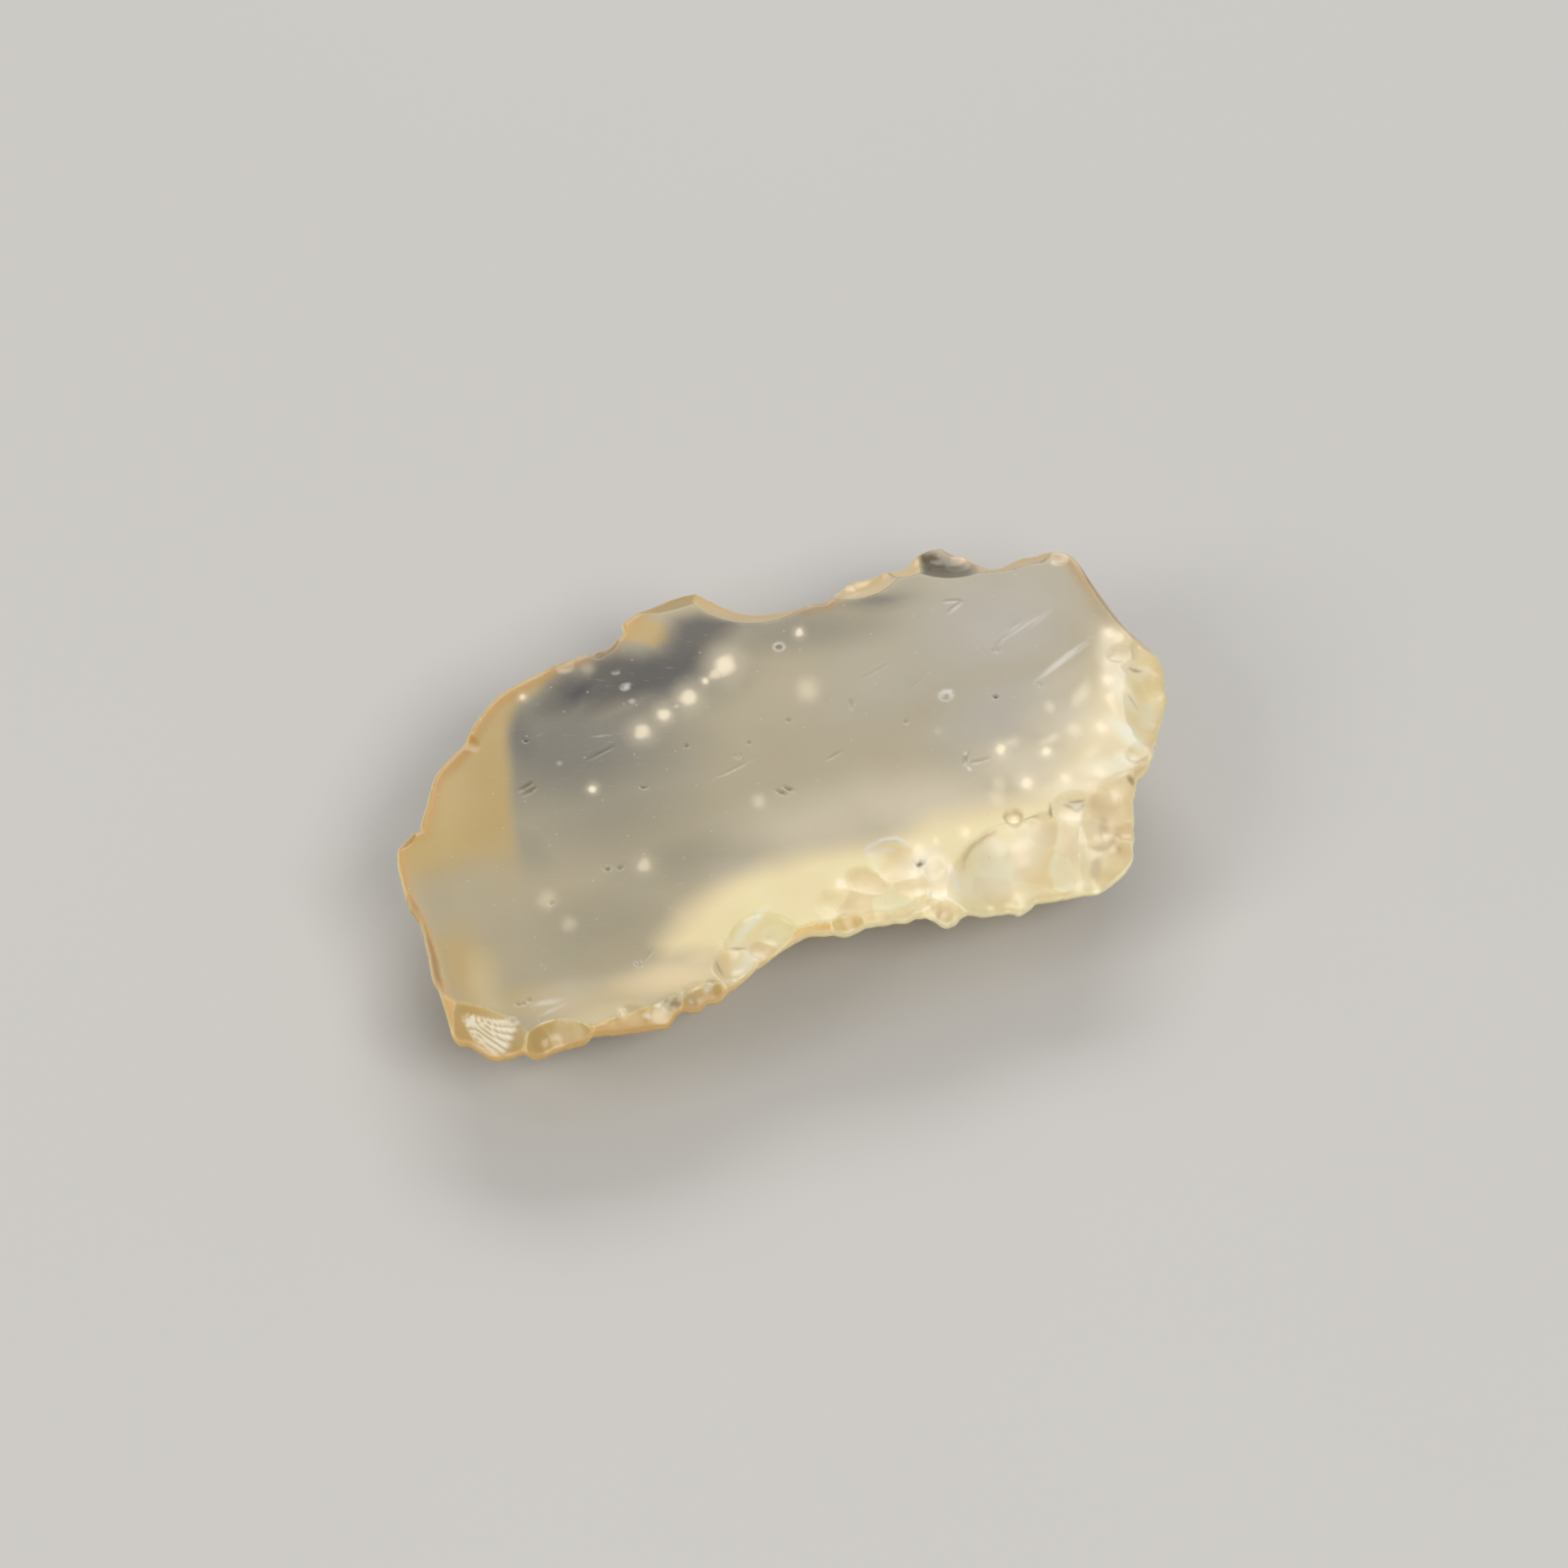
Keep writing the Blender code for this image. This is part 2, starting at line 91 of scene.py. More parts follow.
# Bowls cut into the face: middle x and y, the radius of the rim where each meets the face, and its depth
FACE_BOWLS = {
    "fan scar": (-14.4, -6.5, 3.3, 1.3),
    "fan scar side": (-15.6, -4.9, 3.0, 1.4),
    "left edge bevel": (-22.7, -0.1, 10.0, 4.66),
    "front lobe": (-10.5, -6.9, 1.45, 0.9),
    "front strip": (-8.0, -13.1, 7.0, 3.0),
    "front shelf": (-5.3, -7.3, 1.3, 0.8),
    "cream lobe": (-2.75, -5.15, 1.2, 0.35),
    "cream lobe in front": (-3.75, -5.75, 0.95, 0.4),
    "olive scoop": (-1.7, -9.2, 4.2, 1.6),
    "front roll": (1.6, -9.9, 4.5, 1.0),
    "low notch": (0.0, -6.0, 0.9, 0.5),
    "front right scoop": (6.35, -6.7, 3.05, 1.15),
    "front right notch": (3.3, -7.0, 1.3, 0.9),
    "corner front facet": (9.1, -7.3, 2.7, 1.1),
    "corner side facet": (11.0, -5.6, 2.5, 0.65),
    "right edge strip": (14.4, -7.4, 5.0, 2.6),
    "notch chip": (11.7, -3.9, 0.9, 0.45),
    "tip scoop": (15.6, -1.6, 3.7, 1.2),
    "back right bevel": (23.15, 4.8, 10.0, 4.66),
    "back strip": (11.5, 10.5, 4.0, 1.26),
    "peak right": (9.7, 9.0, 2.15, 0.75),
    "peak left": (7.9, 9.1, 1.5, 0.6),
    "back chip": (6.1, 9.3, 2.0, 0.7),
    "bay strip": (3.0, 10.3, 2.75, 0.9),
    "hump strip": (0.0, 12.3, 2.95, 0.93),
    "shoulder chip": (-3.1, 9.1, 0.7, 0.3),
    "ring chip": (-6.45, -6.45, 0.4, 0.22),
    "rim crater": (2.6, -5.7, 0.35, 0.2),
}

# Small chips that are too fine for the solid, in the same terms
SMALL_CHIPS = {
    "shoulder bite": (-4.3, 9.2, 0.62, 0.2),
    "shoulder nick": (-5.0, 8.95, 0.36, 0.12),
    "shoulder nick behind": (-3.65, 9.1, 0.33, 0.12),
    "saddle nick": (10.75, 7.2, 0.33, 0.16),
    "bay nick": (4.5, 8.1, 0.5, 0.14),
    "step nick": (7.35, 8.75, 0.5, 0.16),
    "left tip chip": (-12.3, 3.75, 0.6, 0.2),
    "corner nick": (-12.0, -6.1, 0.45, 0.2),
    "front nick": (-9.35, -6.65, 0.42, 0.2),
    "front nick beside it": (-10.15, -6.45, 0.36, 0.16),
    "front nick in the middle": (-4.9, -6.75, 0.42, 0.18),
    "scar edge nick": (-4.35, -5.6, 0.4, 0.12),
    "scar edge nick beside it": (-3.75, -4.85, 0.32, 0.1),
    "front strip chip": (0.9, -6.45, 1.15, 0.5),
    "front strip chip beside it": (2.7, -6.4, 0.75, 0.55),
    "front right nick": (6.2, -6.75, 0.4, 0.2),
    "front right nick beside it": (7.3, -6.85, 0.42, 0.16),
    "tip nick": (14.25, 0.3, 0.5, 0.2),
}

# Dents in the broken places of the face, cut in from whatever lies there: x, y, radius and depth
DENTS = [
    (8.75, -3.95, 0.75, 0.12), (9.75, -4.2, 0.8, 0.14), (8.35, -4.75, 0.7, 0.12), (9.2, -4.95, 0.75, 0.16),
    (10.1, -5.0, 0.6, 0.12), (8.6, -5.7, 0.8, 0.15), (9.5, -5.75, 0.6, 0.12), (7.7, -5.6, 0.7, 0.1),
    (9.0, -6.4, 0.6, 0.1), (7.6, -4.2, 0.6, 0.08), (8.1, -6.5, 0.5, 0.08), (10.4, -4.35, 0.45, 0.08),
    (5.3, -5.6, 0.9, 0.1), (6.3, -5.9, 0.7, 0.07), (6.9, -5.2, 0.9, 0.08), (5.6, -4.6, 0.9, 0.05),
    (4.6, -6.0, 0.5, 0.08), (0.6, -5.1, 0.9, 0.08), (1.7, -5.3, 0.8, 0.09), (2.5, -4.9, 0.7, 0.07),
    (3.4, -5.3, 0.6, 0.1), (3.6, -4.6, 0.5, 0.07), (1.3, -4.2, 0.8, 0.05), (2.2, -5.8, 0.5, 0.08),
    (0.0, -4.6, 0.7, 0.04), (3.1, -5.95, 0.5, 0.1), (2.3, -3.55, 0.87, 0.06), (2.5, -3.85, 0.85, 0.1),
    (13.2, 0.9, 0.55, 0.12), (13.55, 0.3, 0.55, 0.12), (12.95, 0.05, 0.6, 0.12), (13.1, -0.7, 0.6, 0.12),
    (12.5, -1.2, 0.6, 0.12), (12.3, -2.0, 0.5, 0.1), (13.6, 1.5, 0.5, 0.08), (11.7, -2.6, 0.5, 0.1),
    (12.75, 1.6, 0.4, 0.06), (-11.9, -5.7, 0.4, 0.08), (-10.9, -5.95, 0.35, 0.06), (-9.9, -6.0, 0.5, 0.07),
    (-7.9, -6.4, 0.6, 0.06), (-6.8, -6.45, 0.4, 0.06), (-5.6, -6.2, 0.45, 0.08), (-5.0, -6.15, 0.35, 0.07),
    (-4.3, -6.2, 0.4, 0.07), (-3.9, -5.4, 0.5, 0.06), (-2.9, -5.3, 0.5, 0.06), (-2.3, -4.8, 0.4, 0.05),
    (8.9, 8.3, 0.4, 0.07), (9.6, 7.9, 0.45, 0.08), (7.3, 8.2, 0.45, 0.06), (6.4, 8.3, 0.5, 0.06),
    (5.6, 8.1, 0.4, 0.05), (12.0, 6.9, 0.5, 0.06), (12.7, 6.4, 0.4, 0.05), (10.9, 6.85, 0.3, 0.05),
    (-3.4, 8.6, 0.3, 0.06), (-4.5, 8.5, 0.3, 0.05), (-8.6, 6.5, 0.3, 0.04),
]
DENT_WANDER = (0.8, 0.2)  # the waves that their outlines wander in: their size and reach
TONE_STEP = 0.618  # how much the tone changes from one dent to the next
TONE_SOFT = 0.02  # height over which a dent's tone fades in

# Flat breaks below the edge: each starts on the rest, along a line from the first point to the second, and
# climbs to the right of that line at so many degrees
BREAKS = {
    "front left": ((-12.0, -3.5), (-2.0, -3.8), 45),
    "front right": ((-2.0, -3.8), (9.0, -3.4), 44),
    "right": ((8.46, -4.7), (12.36, 2.2), 60),
    "back right": ((12.4, 1.0), (11.5, 6.0), 66),
    "left shoulder": ((-4.55, 7.05), (-10.15, 2.75), 58),
    "left": ((-10.5, 3.0), (-11.7, -3.6), 61),
    "under the back": ((10.0, 4.6), (-5.0, 6.2), 21),
    "under the tip": ((6.5, -5.0), (8.8, 8.0), 11),
    "under the left end": ((-6.6, 8.0), (-5.2, -5.0), 9),
}
# The plain wall under the edge, where no flat break cuts it back: steep by the edge, with a broader wall
# under it that follows the edge more loosely. Both lean in the more, the more they face the front
WALL_SLOPE = math.radians(79)
BROAD_SLOPE = math.radians(66)
FRONT_WALL_SLOPE = math.radians(48)
FRONT_WAY = (-0.37, -0.93)  # the way that the front faces
LEAST_SHARE = 0.05  # the least share of the way to the front that counts
FACING_REACH = 0.75  # how far along the edge, to each side, the way that it faces is evened out
BROAD_REACH = 1.5  # how far the broad wall's own outline is
BROAD_GAP = 0.25  # and how far in from that outline it lies

# Hollows in those breaks: the break, the middle's x and y, the radius of the ball that fits, and the depth
HOLLOWS = [
    ("front left", -9.9, -4.6, 5.5, 0.45),
    ("front left", -5.9, -5.2, 2.6, 0.3),
    ("front right", -0.9, -4.7, 4.2, 1.0),
    ("front right", 4.1, -4.9, 7.0, 0.5),
    ("front right", 8.0, -5.3, 2.4, 0.3),
    ("right", 11.9, -0.9, 4.0, 0.3),
    ("back right", 12.7, 4.2, 4.0, 0.2),
    ("left shoulder", -8.0, 5.3, 5.0, 0.35),
    ("left", -12.1, 0.2, 4.0, 0.3),
    ("under the back", 5.5, 6.6, 7.0, 0.3),
    ("under the left end", -9.6, 1.0, 12.0, 0.25),
]

EDGE_DROP = 0.1  # how far the rounded edge lies below the face
EDGE_ROUND = 0.18  # how far in the rounding reaches
LIP_START = 0.16  # the least thickness of the wedge that a break leaves, one edge rounding in
LIP_SLOPE = 0.7  # how fast that wedge grows from there
LIP_REACH = 1.2  # how far in it has its say
LIP_RETURN = 2.1  # and how fast it gives way to the rest of the underside past that

# Open bubbles and pits in the face: x, y, radius and depth
PITS = [
    (6.75, 2.25, 0.2, 0.06), (2.42, 6.44, 0.16, 0.06), (-6.2, 4.57, 0.08, 0.07), (-3.0, 6.8, 0.13, 0.05),
    (-3.0, 6.15, 0.09, 0.04), (-3.06, 7.53, 0.09, 0.03), (-3.99, 2.53, 0.1, 0.08),
    (-0.64, 2.51, 0.08, 0.06), (9.07, 3.43, 0.1, 0.07), (8.27, 1.55, 0.07, 0.09),
    (-6.35, -0.24, 0.11, 0.08), (-5.98, -0.38, 0.08, 0.06), (-6.86, -4.36, 0.1, 0.08),
    (2.33, -6.03, 0.22, 0.15), (3.2, -4.02, 0.16, 0.16), (-11.51, -4.96, 0.13, 0.1),
    (-8.07, -6.0, 0.11, 0.08), (-11.06, -4.4, 0.08, 0.06), (-10.9, -4.43, 0.08, 0.05),
    (-10.68, -4.38, 0.08, 0.05), (9.82, 1.46, 0.08, 0.06), (6.77, -3.46, 0.3, 0.1),
    (-2.05, 3.6, 0.06, 0.05), (-6.9, 5.9, 0.08, 0.05), (-8.6, -0.9, 0.07, 0.05), (1.5, 3.3, 0.06, 0.04),
    (5.1, 1.7, 0.07, 0.04), (-0.1, 2.9, 0.05, 0.04), (-13.3, -5.15, 0.07, 0.05),
    (-13.04, -5.26, 0.06, 0.05), (-12.8, -5.27, 0.06, 0.05), (-10.69, -6.4, 0.12, 0.05),
]
# Those of them, and other rings, whose edge looks dark
DARK_RINGS = [(6.77, -3.46, 0.27), (2.33, -6.03, 0.2), (-6.38, -6.42, 0.17)]

# Scratches and shallow grooves in the face: from, to, width and depth
GROOVES = [
    ((9.84, 1.71), (12.06, 2.55), 0.12, 0.02), ((9.55, 3.8), (11.02, 4.29), 0.1, 0.014),
    ((9.1, 3.55), (10.3, 4.3), 0.08, 0.012), ((5.7, 2.9), (6.6, 3.4), 0.06, 0.008),
    ((6.15, -0.75), (6.45, -0.35), 0.09, 0.04), ((6.4, -0.8), (6.95, -0.85), 0.08, 0.03),
    ((0.0, 0.62), (0.25, 0.35), 0.09, 0.05), ((0.28, 0.66), (0.5, 0.42), 0.09, 0.05),
    ((-7.85, 3.95), (-7.4, 4.1), 0.08, 0.04), ((-7.8, 3.7), (-7.35, 3.85), 0.07, 0.04),
    ((-1.5, 1.95), (-0.5, 2.1), 0.07, 0.012), ((2.0, 1.2), (2.6, 1.35), 0.07, 0.02),
    ((3.6, 2.9), (3.75, 3.3), 0.08, 0.03), ((-5.3, 4.3), (-4.3, 4.5), 0.07, 0.015),
    ((-6.6, -4.3), (-6.2, -4.0), 0.07, 0.02), ((4.4, 4.0), (5.6, 4.3), 0.06, 0.01),
    ((7.91, -3.92), (8.13, -3.42), 0.09, 0.05), ((8.54, -3.42), (9.26, -3.7), 0.08, 0.04),
    ((8.3, 6.09), (8.78, 5.94), 0.08, 0.04), ((8.28, 5.6), (8.82, 5.86), 0.09, 0.05),
]

# The fan of fine ridges in the scar at the front left corner: where it was struck, and how it spreads
FAN_STRUCK = (-12.95, -3.75)
FAN_REACH = 2.25
FAN_MIDDLE = math.radians(-59)
FAN_SPREAD = math.radians(24)
FAN_HEIGHT = 0.08
FAN_RIDGES = 8
FAN_WANDER = (0.9, 0.6)  # the waves in its ridges: their size and reach
FAN_STARTS = (0.15, 0.5)  # how far from where it was struck it starts, and is full
FAN_SIDE_FADE = 0.15  # how it fades to its sides, in radians
FAN_END_FADE = 0.3  # and at its end
FAN_OFF_EDGE = (0.1, 0.5)  # how far in from the edge it starts, and is full

# Ripples in the bowls, which run round each bowl's middle
RIPPLE_LENGTH = 0.62
RIPPLE_HEIGHT = 0.008
RIPPLE_WANDER = (1.9, 2.6)  # the waves in them: their size, and their reach in radians

SOFT_RIDGE = 0.02  # height over which two neighbouring surfaces run into each other
SOFT_PIT = 0.25  # share of a pit's radius that its edge is rounded over
PIT_CURVE = 0.7  # how full a pit's bottom is: nothing for flat, one for a bowl
EDGE_PIT_SHARE = 0.3  # share of its depth that a pit has at the edge
EDGE_PIT_REACH = 0.3  # how far in from the edge a pit has its whole depth
GROOVE_ENDS = (0.06, 0.94)  # where along a groove its ends are cut off

# The wandering of the edge between its outline points, always inwards: size of the bites and their depth
EDGE_BITES = [(0.85, 0.03), (0.32, 0.02)]

# Natural unevenness, in from the smooth shape: size of the waves and height, on the face and on the breaks
FACE_WAVES = [(3.2, 0.03), (1.1, 0.006)]
BREAK_WAVES = [(2.6, 0.09), (0.95, 0.05), (0.38, 0.02), (0.16, 0.008)]
WALL_DENTS = [(1.7, 0.16), (0.75, 0.05)]  # dents all over the breaks: their size and depth
UNEVEN_FROM = 0.5  # how far in from the edge the unevenness is full
BOWL_START = 0.03  # a place this far below the face's plane counts as in a bowl
BOWL_SHARE = 0.22  # how much of the breaks' unevenness the bowls have
REST_SHARE = 0.15  # how much of it the underside has where the flake rests
BREAK_RISE = (0.02, 0.7)  # height over which the rest turns into a break
WALL_RISE = (0.02, 0.5)  # height over which the wall's dents begin
WALL_STARTS = (0.1, 0.9)  # how far in from the edge they begin, and are full

# Spacing of the mesh's points: along the edge, close by ridges and marks, and in the open
EDGE_STEP = 0.07
EDGE_ROWS = [0.012, 0.035, 0.07, 0.115, 0.17]  # rows of points this far in round the edge
FACE_FINE = 0.065
FACE_OPEN = 0.13
UNDER_FINE = 0.095
UNDER_OPEN = 0.22
FINE_REACH = 0.13  # how far from a ridge or a mark the points lie close
WALL_BAND = 1.9  # how far in from the edge they lie close on the underside
LEAST_GAP = 0.55  # the least gap between two points, as a share of the close spacing
ROW_GAP = 0.6  # and the gap between the inmost row and the other points
ROW_SHARE = 0.9  # the share of its depth that a row's point keeps, or it is left out
CURVE_PIECES = 24  # points that the edge curve has between two of its own
BOX_STEP = 0.25  # how far apart the points lie that the flake's box is measured from

# Steps and limits of the working out
NUDGE = 0.01  # how far to its sides a surface is looked at for its slope
LEAST_STEEPNESS = 0.05  # the least slope that a way to a ridge is measured by
CLOSE = 1e-5  # points nearer than this are one
INSIDE_ONLY = 1  # makes triangles only within the edge
LEAST_LENGTH = 1e-12
STEADY_ROUNDS = 30  # how often the ways that unevenness is pushed in along are evened out
WAVE_SHIFT = np.array([17.3, 5.1, 9.7])  # how far off the waves of the next seed lie
CELL_SHIFT = np.array([3.7, 1.3, 7.9])

# How the colours begin and end
WANDER = (1.3, 0.16)  # the waves that the hazes wander in: their size and reach
WOBBLE = (0.3, 0.07)  # and those of the smaller marks
FINE_SHARE = 0.4  # how much of that the finest marks have
FACET_SOFT = 0.04  # height over which a facet's colour fades in
DARK_SOFT = 0.13  # and over which a dark one's does
FAINT_SPECK = 0.5  # a speck of this strength or less is soft all over
SPECK_STRETCH = 1.3  # how much longer than wide the round specks are drawn
SPECK_TURN = 68  # and at what turn, in degrees
HALO_SIZE = 1.7  # a bright speck's halo, against the speck
HALO_STRENGTH = 0.45
PLAIN_RING = 0.16  # a ring of this radius is at its full strength, and a smaller one fainter
LIGHT_RING = (0.95, 0.045)  # strength and width of the pits' painted bright rings of highlight
DARK_RING = (0.24, 0.06)  # and of the dark ones
BACK_STARTS = (1.5, 3.5)  # how far back the ridges' crests turn from painted highlight to painted shade
CREST_HIGHLIGHT_STRENGTH = 0.75
BACK_CREST_SHADE_STRENGTH = 0.3
LEFT_CREST_LOSS = 0.4  # what the crests lose at the left
LEFT_STARTS = (4, 7)  # how far to the left that begins, and is full
CREST_WIDTH = (0.01, 0.075)  # how far from a ridge its crest is full, and ends
CREST_STEEPNESS = (0.25, 0.8)  # how sharp a ridge has a faint crest, and a full one
CREST_PATCHES = (0.7, -0.5, 0.35)  # its bright stretches: their size, and the waves' start and end
LEAST_CREST = 0.25  # what a crest keeps between them
LINE_FADE = 0.6  # how soon a thin line is full from its ends
DARK_TONE = 0.36  # how dark the darkest dent's plane is
PALE_TONE = 0.55  # and how pale the palest one's
LEAST_FAN_LIGHT = 0.3  # how bright the fan's painted highlight is between its ridges
FAN_CREST = (0.15, 0.55)  # how near a ridge's crest it starts to be brighter, and is full
HUMP_TOP_STRENGTH = 0.6  # how strongly three of the patches below show
RIGHT_GLOW_STRENGTH = 0.6
DARK_REFLECTION_BANK_STRENGTH = 0.85

# The rim's painted highlight, the painted orange glow of light through the thin glass within it, and the
# amber glass at the front left
RIM_WIDTH = 0.075
FRONT_RIM_WIDTH = 0.045  # and how much wider the rim is at the front
RIM_FADE = (0.4, 1.2)  # the shares of its width at which it starts to fade, and ends
GLOW_WIDTH = 0.5
FRONT_GLOW_LOSS = 0.2  # and how much narrower the glow is at the front
GLOW_FADE = (0.1, 1.0)
GLOW_PATCHES = (2.4, 0.25)  # the waves in its strength: their size and reach
PLAIN_GLOW = 0.85
LEFT_GLOW_GAIN = 0.6
DARK_GLOW_LOSS = 0.85  # what the glow loses over the dark facets
AMBER_STARTS = (-1, 7)  # how far to the left the amber begins, and is full
AMBER_FACING = (0.1, 0.6)  # how much an edge there faces the front
AMBER_REACH = 0.9  # how far down the wall it comes
AMBER_FADE = 0.6  # and how softly it ends there

# Soft patches of colour, the front and right glows among them painted light: closed outlines on the face
LEFT_BAND = [
    (-2.2, 9.6), (-2.45, 8.75), (-3.7, 8.62), (-4.65, 8.3), (-5.3, 8.02), (-5.8, 7.75), (-6.5, 7.62),
    (-7.0, 7.05), (-7.35, 6.5), (-7.75, 5.4), (-8.15, 4.2), (-8.5, 3.0), (-8.85, 1.7), (-9.15, 0.4),
    (-9.5, -1.0), (-14.5, -1.0), (-14.5, 3.0), (-12.0, 9.0), (-6.0, 11.0),
]
# Painted glow: light coming through the thin glass at the front and at the tip, painted into the colour
FRONT_GLOW = [
    (-5.9, -3.9), (-4.8, -3.1), (-3.4, -2.5), (-1.6, -2.2), (-0.2, -2.3), (1.3, -2.6), (2.6, -2.9),
    (4.4, -2.6), (6.4, -2.8), (8.4, -2.8), (10.5, -3.0), (12.5, -3.4), (11.5, -8.0), (-3.0, -8.0),
    (-4.6, -4.9), (-5.9, -4.5),
]
RIGHT_GLOW = [
    (14.6, 2.4), (12.9, 2.9), (12.0, 1.6), (10.9, -0.2), (9.9, -1.4), (8.4, -2.6), (6.9, -3.4), (8.5, -4.4),
    (11.5, -3.6), (15.0, -1.0),
]
HUMP_PATCH = [(-2.6, 9.0), (-2.0, 8.6), (-1.5, 8.0), (-0.95, 8.1), (-0.8, 8.6), (-0.95, 9.1), (-1.9, 9.8)]
HUMP_TOP = [(-2.4, 9.2), (-1.1, 9.35), (0.2, 9.5), (1.0, 9.2), (2.0, 8.5), (2.0, 11.0), (-2.0, 11.0)]

# Wisps and hazes in the glass, and painted shade, light, sheen, glow, shadow and dark reflection: middle x
# and y, half length, half width, turn in degrees, strength
# Painted shade: the glass drawn darker towards the back and the left
PAINTED_SHADE_HAZE = [
    (-5.9, 5.2, 4.6, 3.1, -22, 1.0), (-1.6, 6.4, 3.2, 1.9, 10, 0.7), (3.0, 6.9, 3.6, 1.1, -14, 0.6),
    (6.2, 6.9, 1.5, 0.6, -10, 0.6), (-8.4, 1.6, 1.0, 1.6, 10, 0.35), (-5.2, 2.2, 3.4, 2.6, 0, 0.45),
    (-3.6, -0.9, 3.0, 1.3, -10, 0.35), (-7.4, -2.2, 2.2, 1.6, 0, 0.25),
]
# Painted dark reflection: a dark patch, as a bank and as wisps, drawn into the glass where its underside
# mirrors dark surroundings
DARK_REFLECTION_BANK = [
    (-5.7, 7.1), (-5.4, 7.8), (-4.74, 8.11), (-4.1, 8.0), (-3.4, 8.35), (-2.6, 8.4), (-1.9, 7.85),
    (-1.3, 7.75), (-0.75, 8.3), (-0.3, 8.9), (0.5, 8.9), (1.7, 8.1), (0.9, 7.6), (0.2, 7.3), (-0.35, 6.5),
    (-1.0, 6.1), (-1.8, 5.95), (-2.9, 6.2), (-4.4, 6.55),
]
DARK_REFLECTION_WISPS = [
    (-4.5, 7.35, 1.9, 0.8, 14, 1.0), (-3.2, 7.0, 1.9, 0.8, 20, 0.85), (-1.6, 6.7, 1.5, 0.6, 35, 0.85),
    (-0.7, 7.5, 1.2, 0.6, 58, 0.78), (1.1, 8.3, 1.3, 0.4, -22, 0.4), (-6.9, 6.4, 0.5, 1.4, -18, 0.3),
    (6.1, 7.1, 1.2, 0.28, -14, 0.35), (-2.6, 5.9, 1.6, 0.5, 25, 0.3),
]
BAND_END = (-0.6, 2.6)  # how far back the tan glass starts, and where it's full
BAND_LEAN = 0.25  # how much further back that is for each millimetre to the left
BAND_MIDDLE = -11
LOW_WARMTH = [
    (-12.2, -2.2, 2.6, 1.0, 85, 0.85), (-12.4, 1.2, 1.2, 0.5, 80, 0.5), (-10.9, -4.3, 1.6, 0.8, -15, 0.45),
    (-7.6, -5.3, 3.2, 0.7, -3, 0.4), (-13.0, -0.4, 1.2, 0.35, 90, 0.6),
]
SADDLE_GREY = (-10.9, 0.6, 2.6, 1.6, 12, 0.9)
# Painted sheen: a soft, cool, pale reflection of light over the right of the face
PAINTED_SHEEN_HAZE = [
    (9.6, 4.6, 3.4, 2.7, 10, 0.95), (8.2, 0.9, 3.2, 1.8, 15, 0.75), (5.0, 3.6, 3.0, 2.0, 10, 0.35),
]
# Painted light: the glass drawn paler towards the front and the right, where light comes through it
PAINTED_LIGHT_HAZE = [
    (11.0, -1.2, 2.6, 2.0, -25, 1.0), (8.6, -1.8, 2.8, 1.5, -15, 0.85), (4.4, -1.9, 4.2, 1.7, -18, 0.75),
    (0.9, -1.4, 3.4, 1.8, -8, 0.6), (-2.2, -2.0, 1.8, 1.0, 0, 0.35), (10.6, 1.2, 1.9, 0.9, 30, 0.35),
    (-9.9, -4.5, 2.0, 0.6, -8, 0.45),
]
WHITE_HAZE = [
    (11.75, -1.75, 1.15, 0.45, -70, 1.0), (11.2, -2.6, 0.5, 0.4, 0, 0.9),
    (10.35, -2.7, 1.1, 0.5, -15, 0.75), (-2.85, -4.17, 0.85, 0.16, 26, 1.0),
    (-3.45, -4.6, 0.5, 0.14, 40, 0.7), (9.0, -3.0, 1.2, 0.4, -10, 0.4), (5.6, -5.0, 1.1, 0.7, 25, 0.7),
    (7.0, -4.5, 1.0, 0.6, 30, 0.5), (3.3, -4.1, 0.75, 0.75, 0, 0.6), (4.2, -5.4, 0.4, 0.5, 10, 0.4),
    (-3.5, -5.5, 0.6, 0.45, 30, 0.6), (12.3, 0.3, 0.5, 1.2, 5, 0.7), (12.8, 2.4, 0.6, 0.4, 60, 0.5),
    (12.45, 1.3, 1.3, 0.5, 80, 0.6), (4.5, -5.3, 0.9, 0.6, 10, 0.5), (12.75, -0.9, 0.7, 0.35, 60, 0.5),
]
MILK_HAZE = [
    (9.3, -4.6, 2.6, 2.0, -10, 0.85), (6.1, -4.9, 2.0, 1.3, 20, 0.7), (3.4, -4.6, 1.2, 1.3, 0, 0.6),
    (12.9, 0.2, 1.6, 1.0, 75, 0.6), (-3.4, -5.4, 1.3, 0.9, 30, 0.75), (-6.2, -5.2, 2.4, 0.8, -5, 0.4),
    (-9.3, -5.2, 1.8, 0.5, -5, 0.3), (1.2, -4.8, 2.4, 0.7, 0, 0.3),
]
# Painted glow, low at the front and the left
LOW_GLOW = [
    (-5.9, -5.4, 2.2, 0.8, -5, 0.62), (-8.6, -5.9, 2.4, 0.5, -3, 0.4), (-4.6, -4.6, 1.4, 1.0, 30, 0.7),
    (-11.8, -3.2, 1.4, 0.6, 80, 0.25),
]
OCHRE_SEAM = [
    (-8.9, 4.0, 3.6, 0.9, 70, 0.75), (-7.3, 7.2, 1.4, 0.6, 40, 0.5), (-11.2, 1.6, 1.4, 0.9, 20, 0.5),
    (-10.9, -3.0, 2.0, 0.8, 80, 0.4), (-8.6, 6.5, 1.3, 0.4, 45, 0.9),
]
CORNER_SHADE = [
    (10.0, -5.2, 0.9, 0.55, 70, 0.4), (9.6, -3.9, 0.9, 0.5, -20, 0.35), (8.2, -5.0, 0.8, 0.35, 80, 0.25),
    (9.0, -6.1, 0.9, 0.35, 10, 0.3), (7.2, -5.9, 0.9, 0.4, 10, 0.25), (4.6, -5.7, 0.7, 0.35, 10, 0.2),
    (13.4, 1.1, 0.9, 0.4, 90, 0.3), (13.0, -1.0, 0.8, 0.35, 55, 0.3), (12.9, 4.9, 1.9, 0.26, 94, 0.6),
]
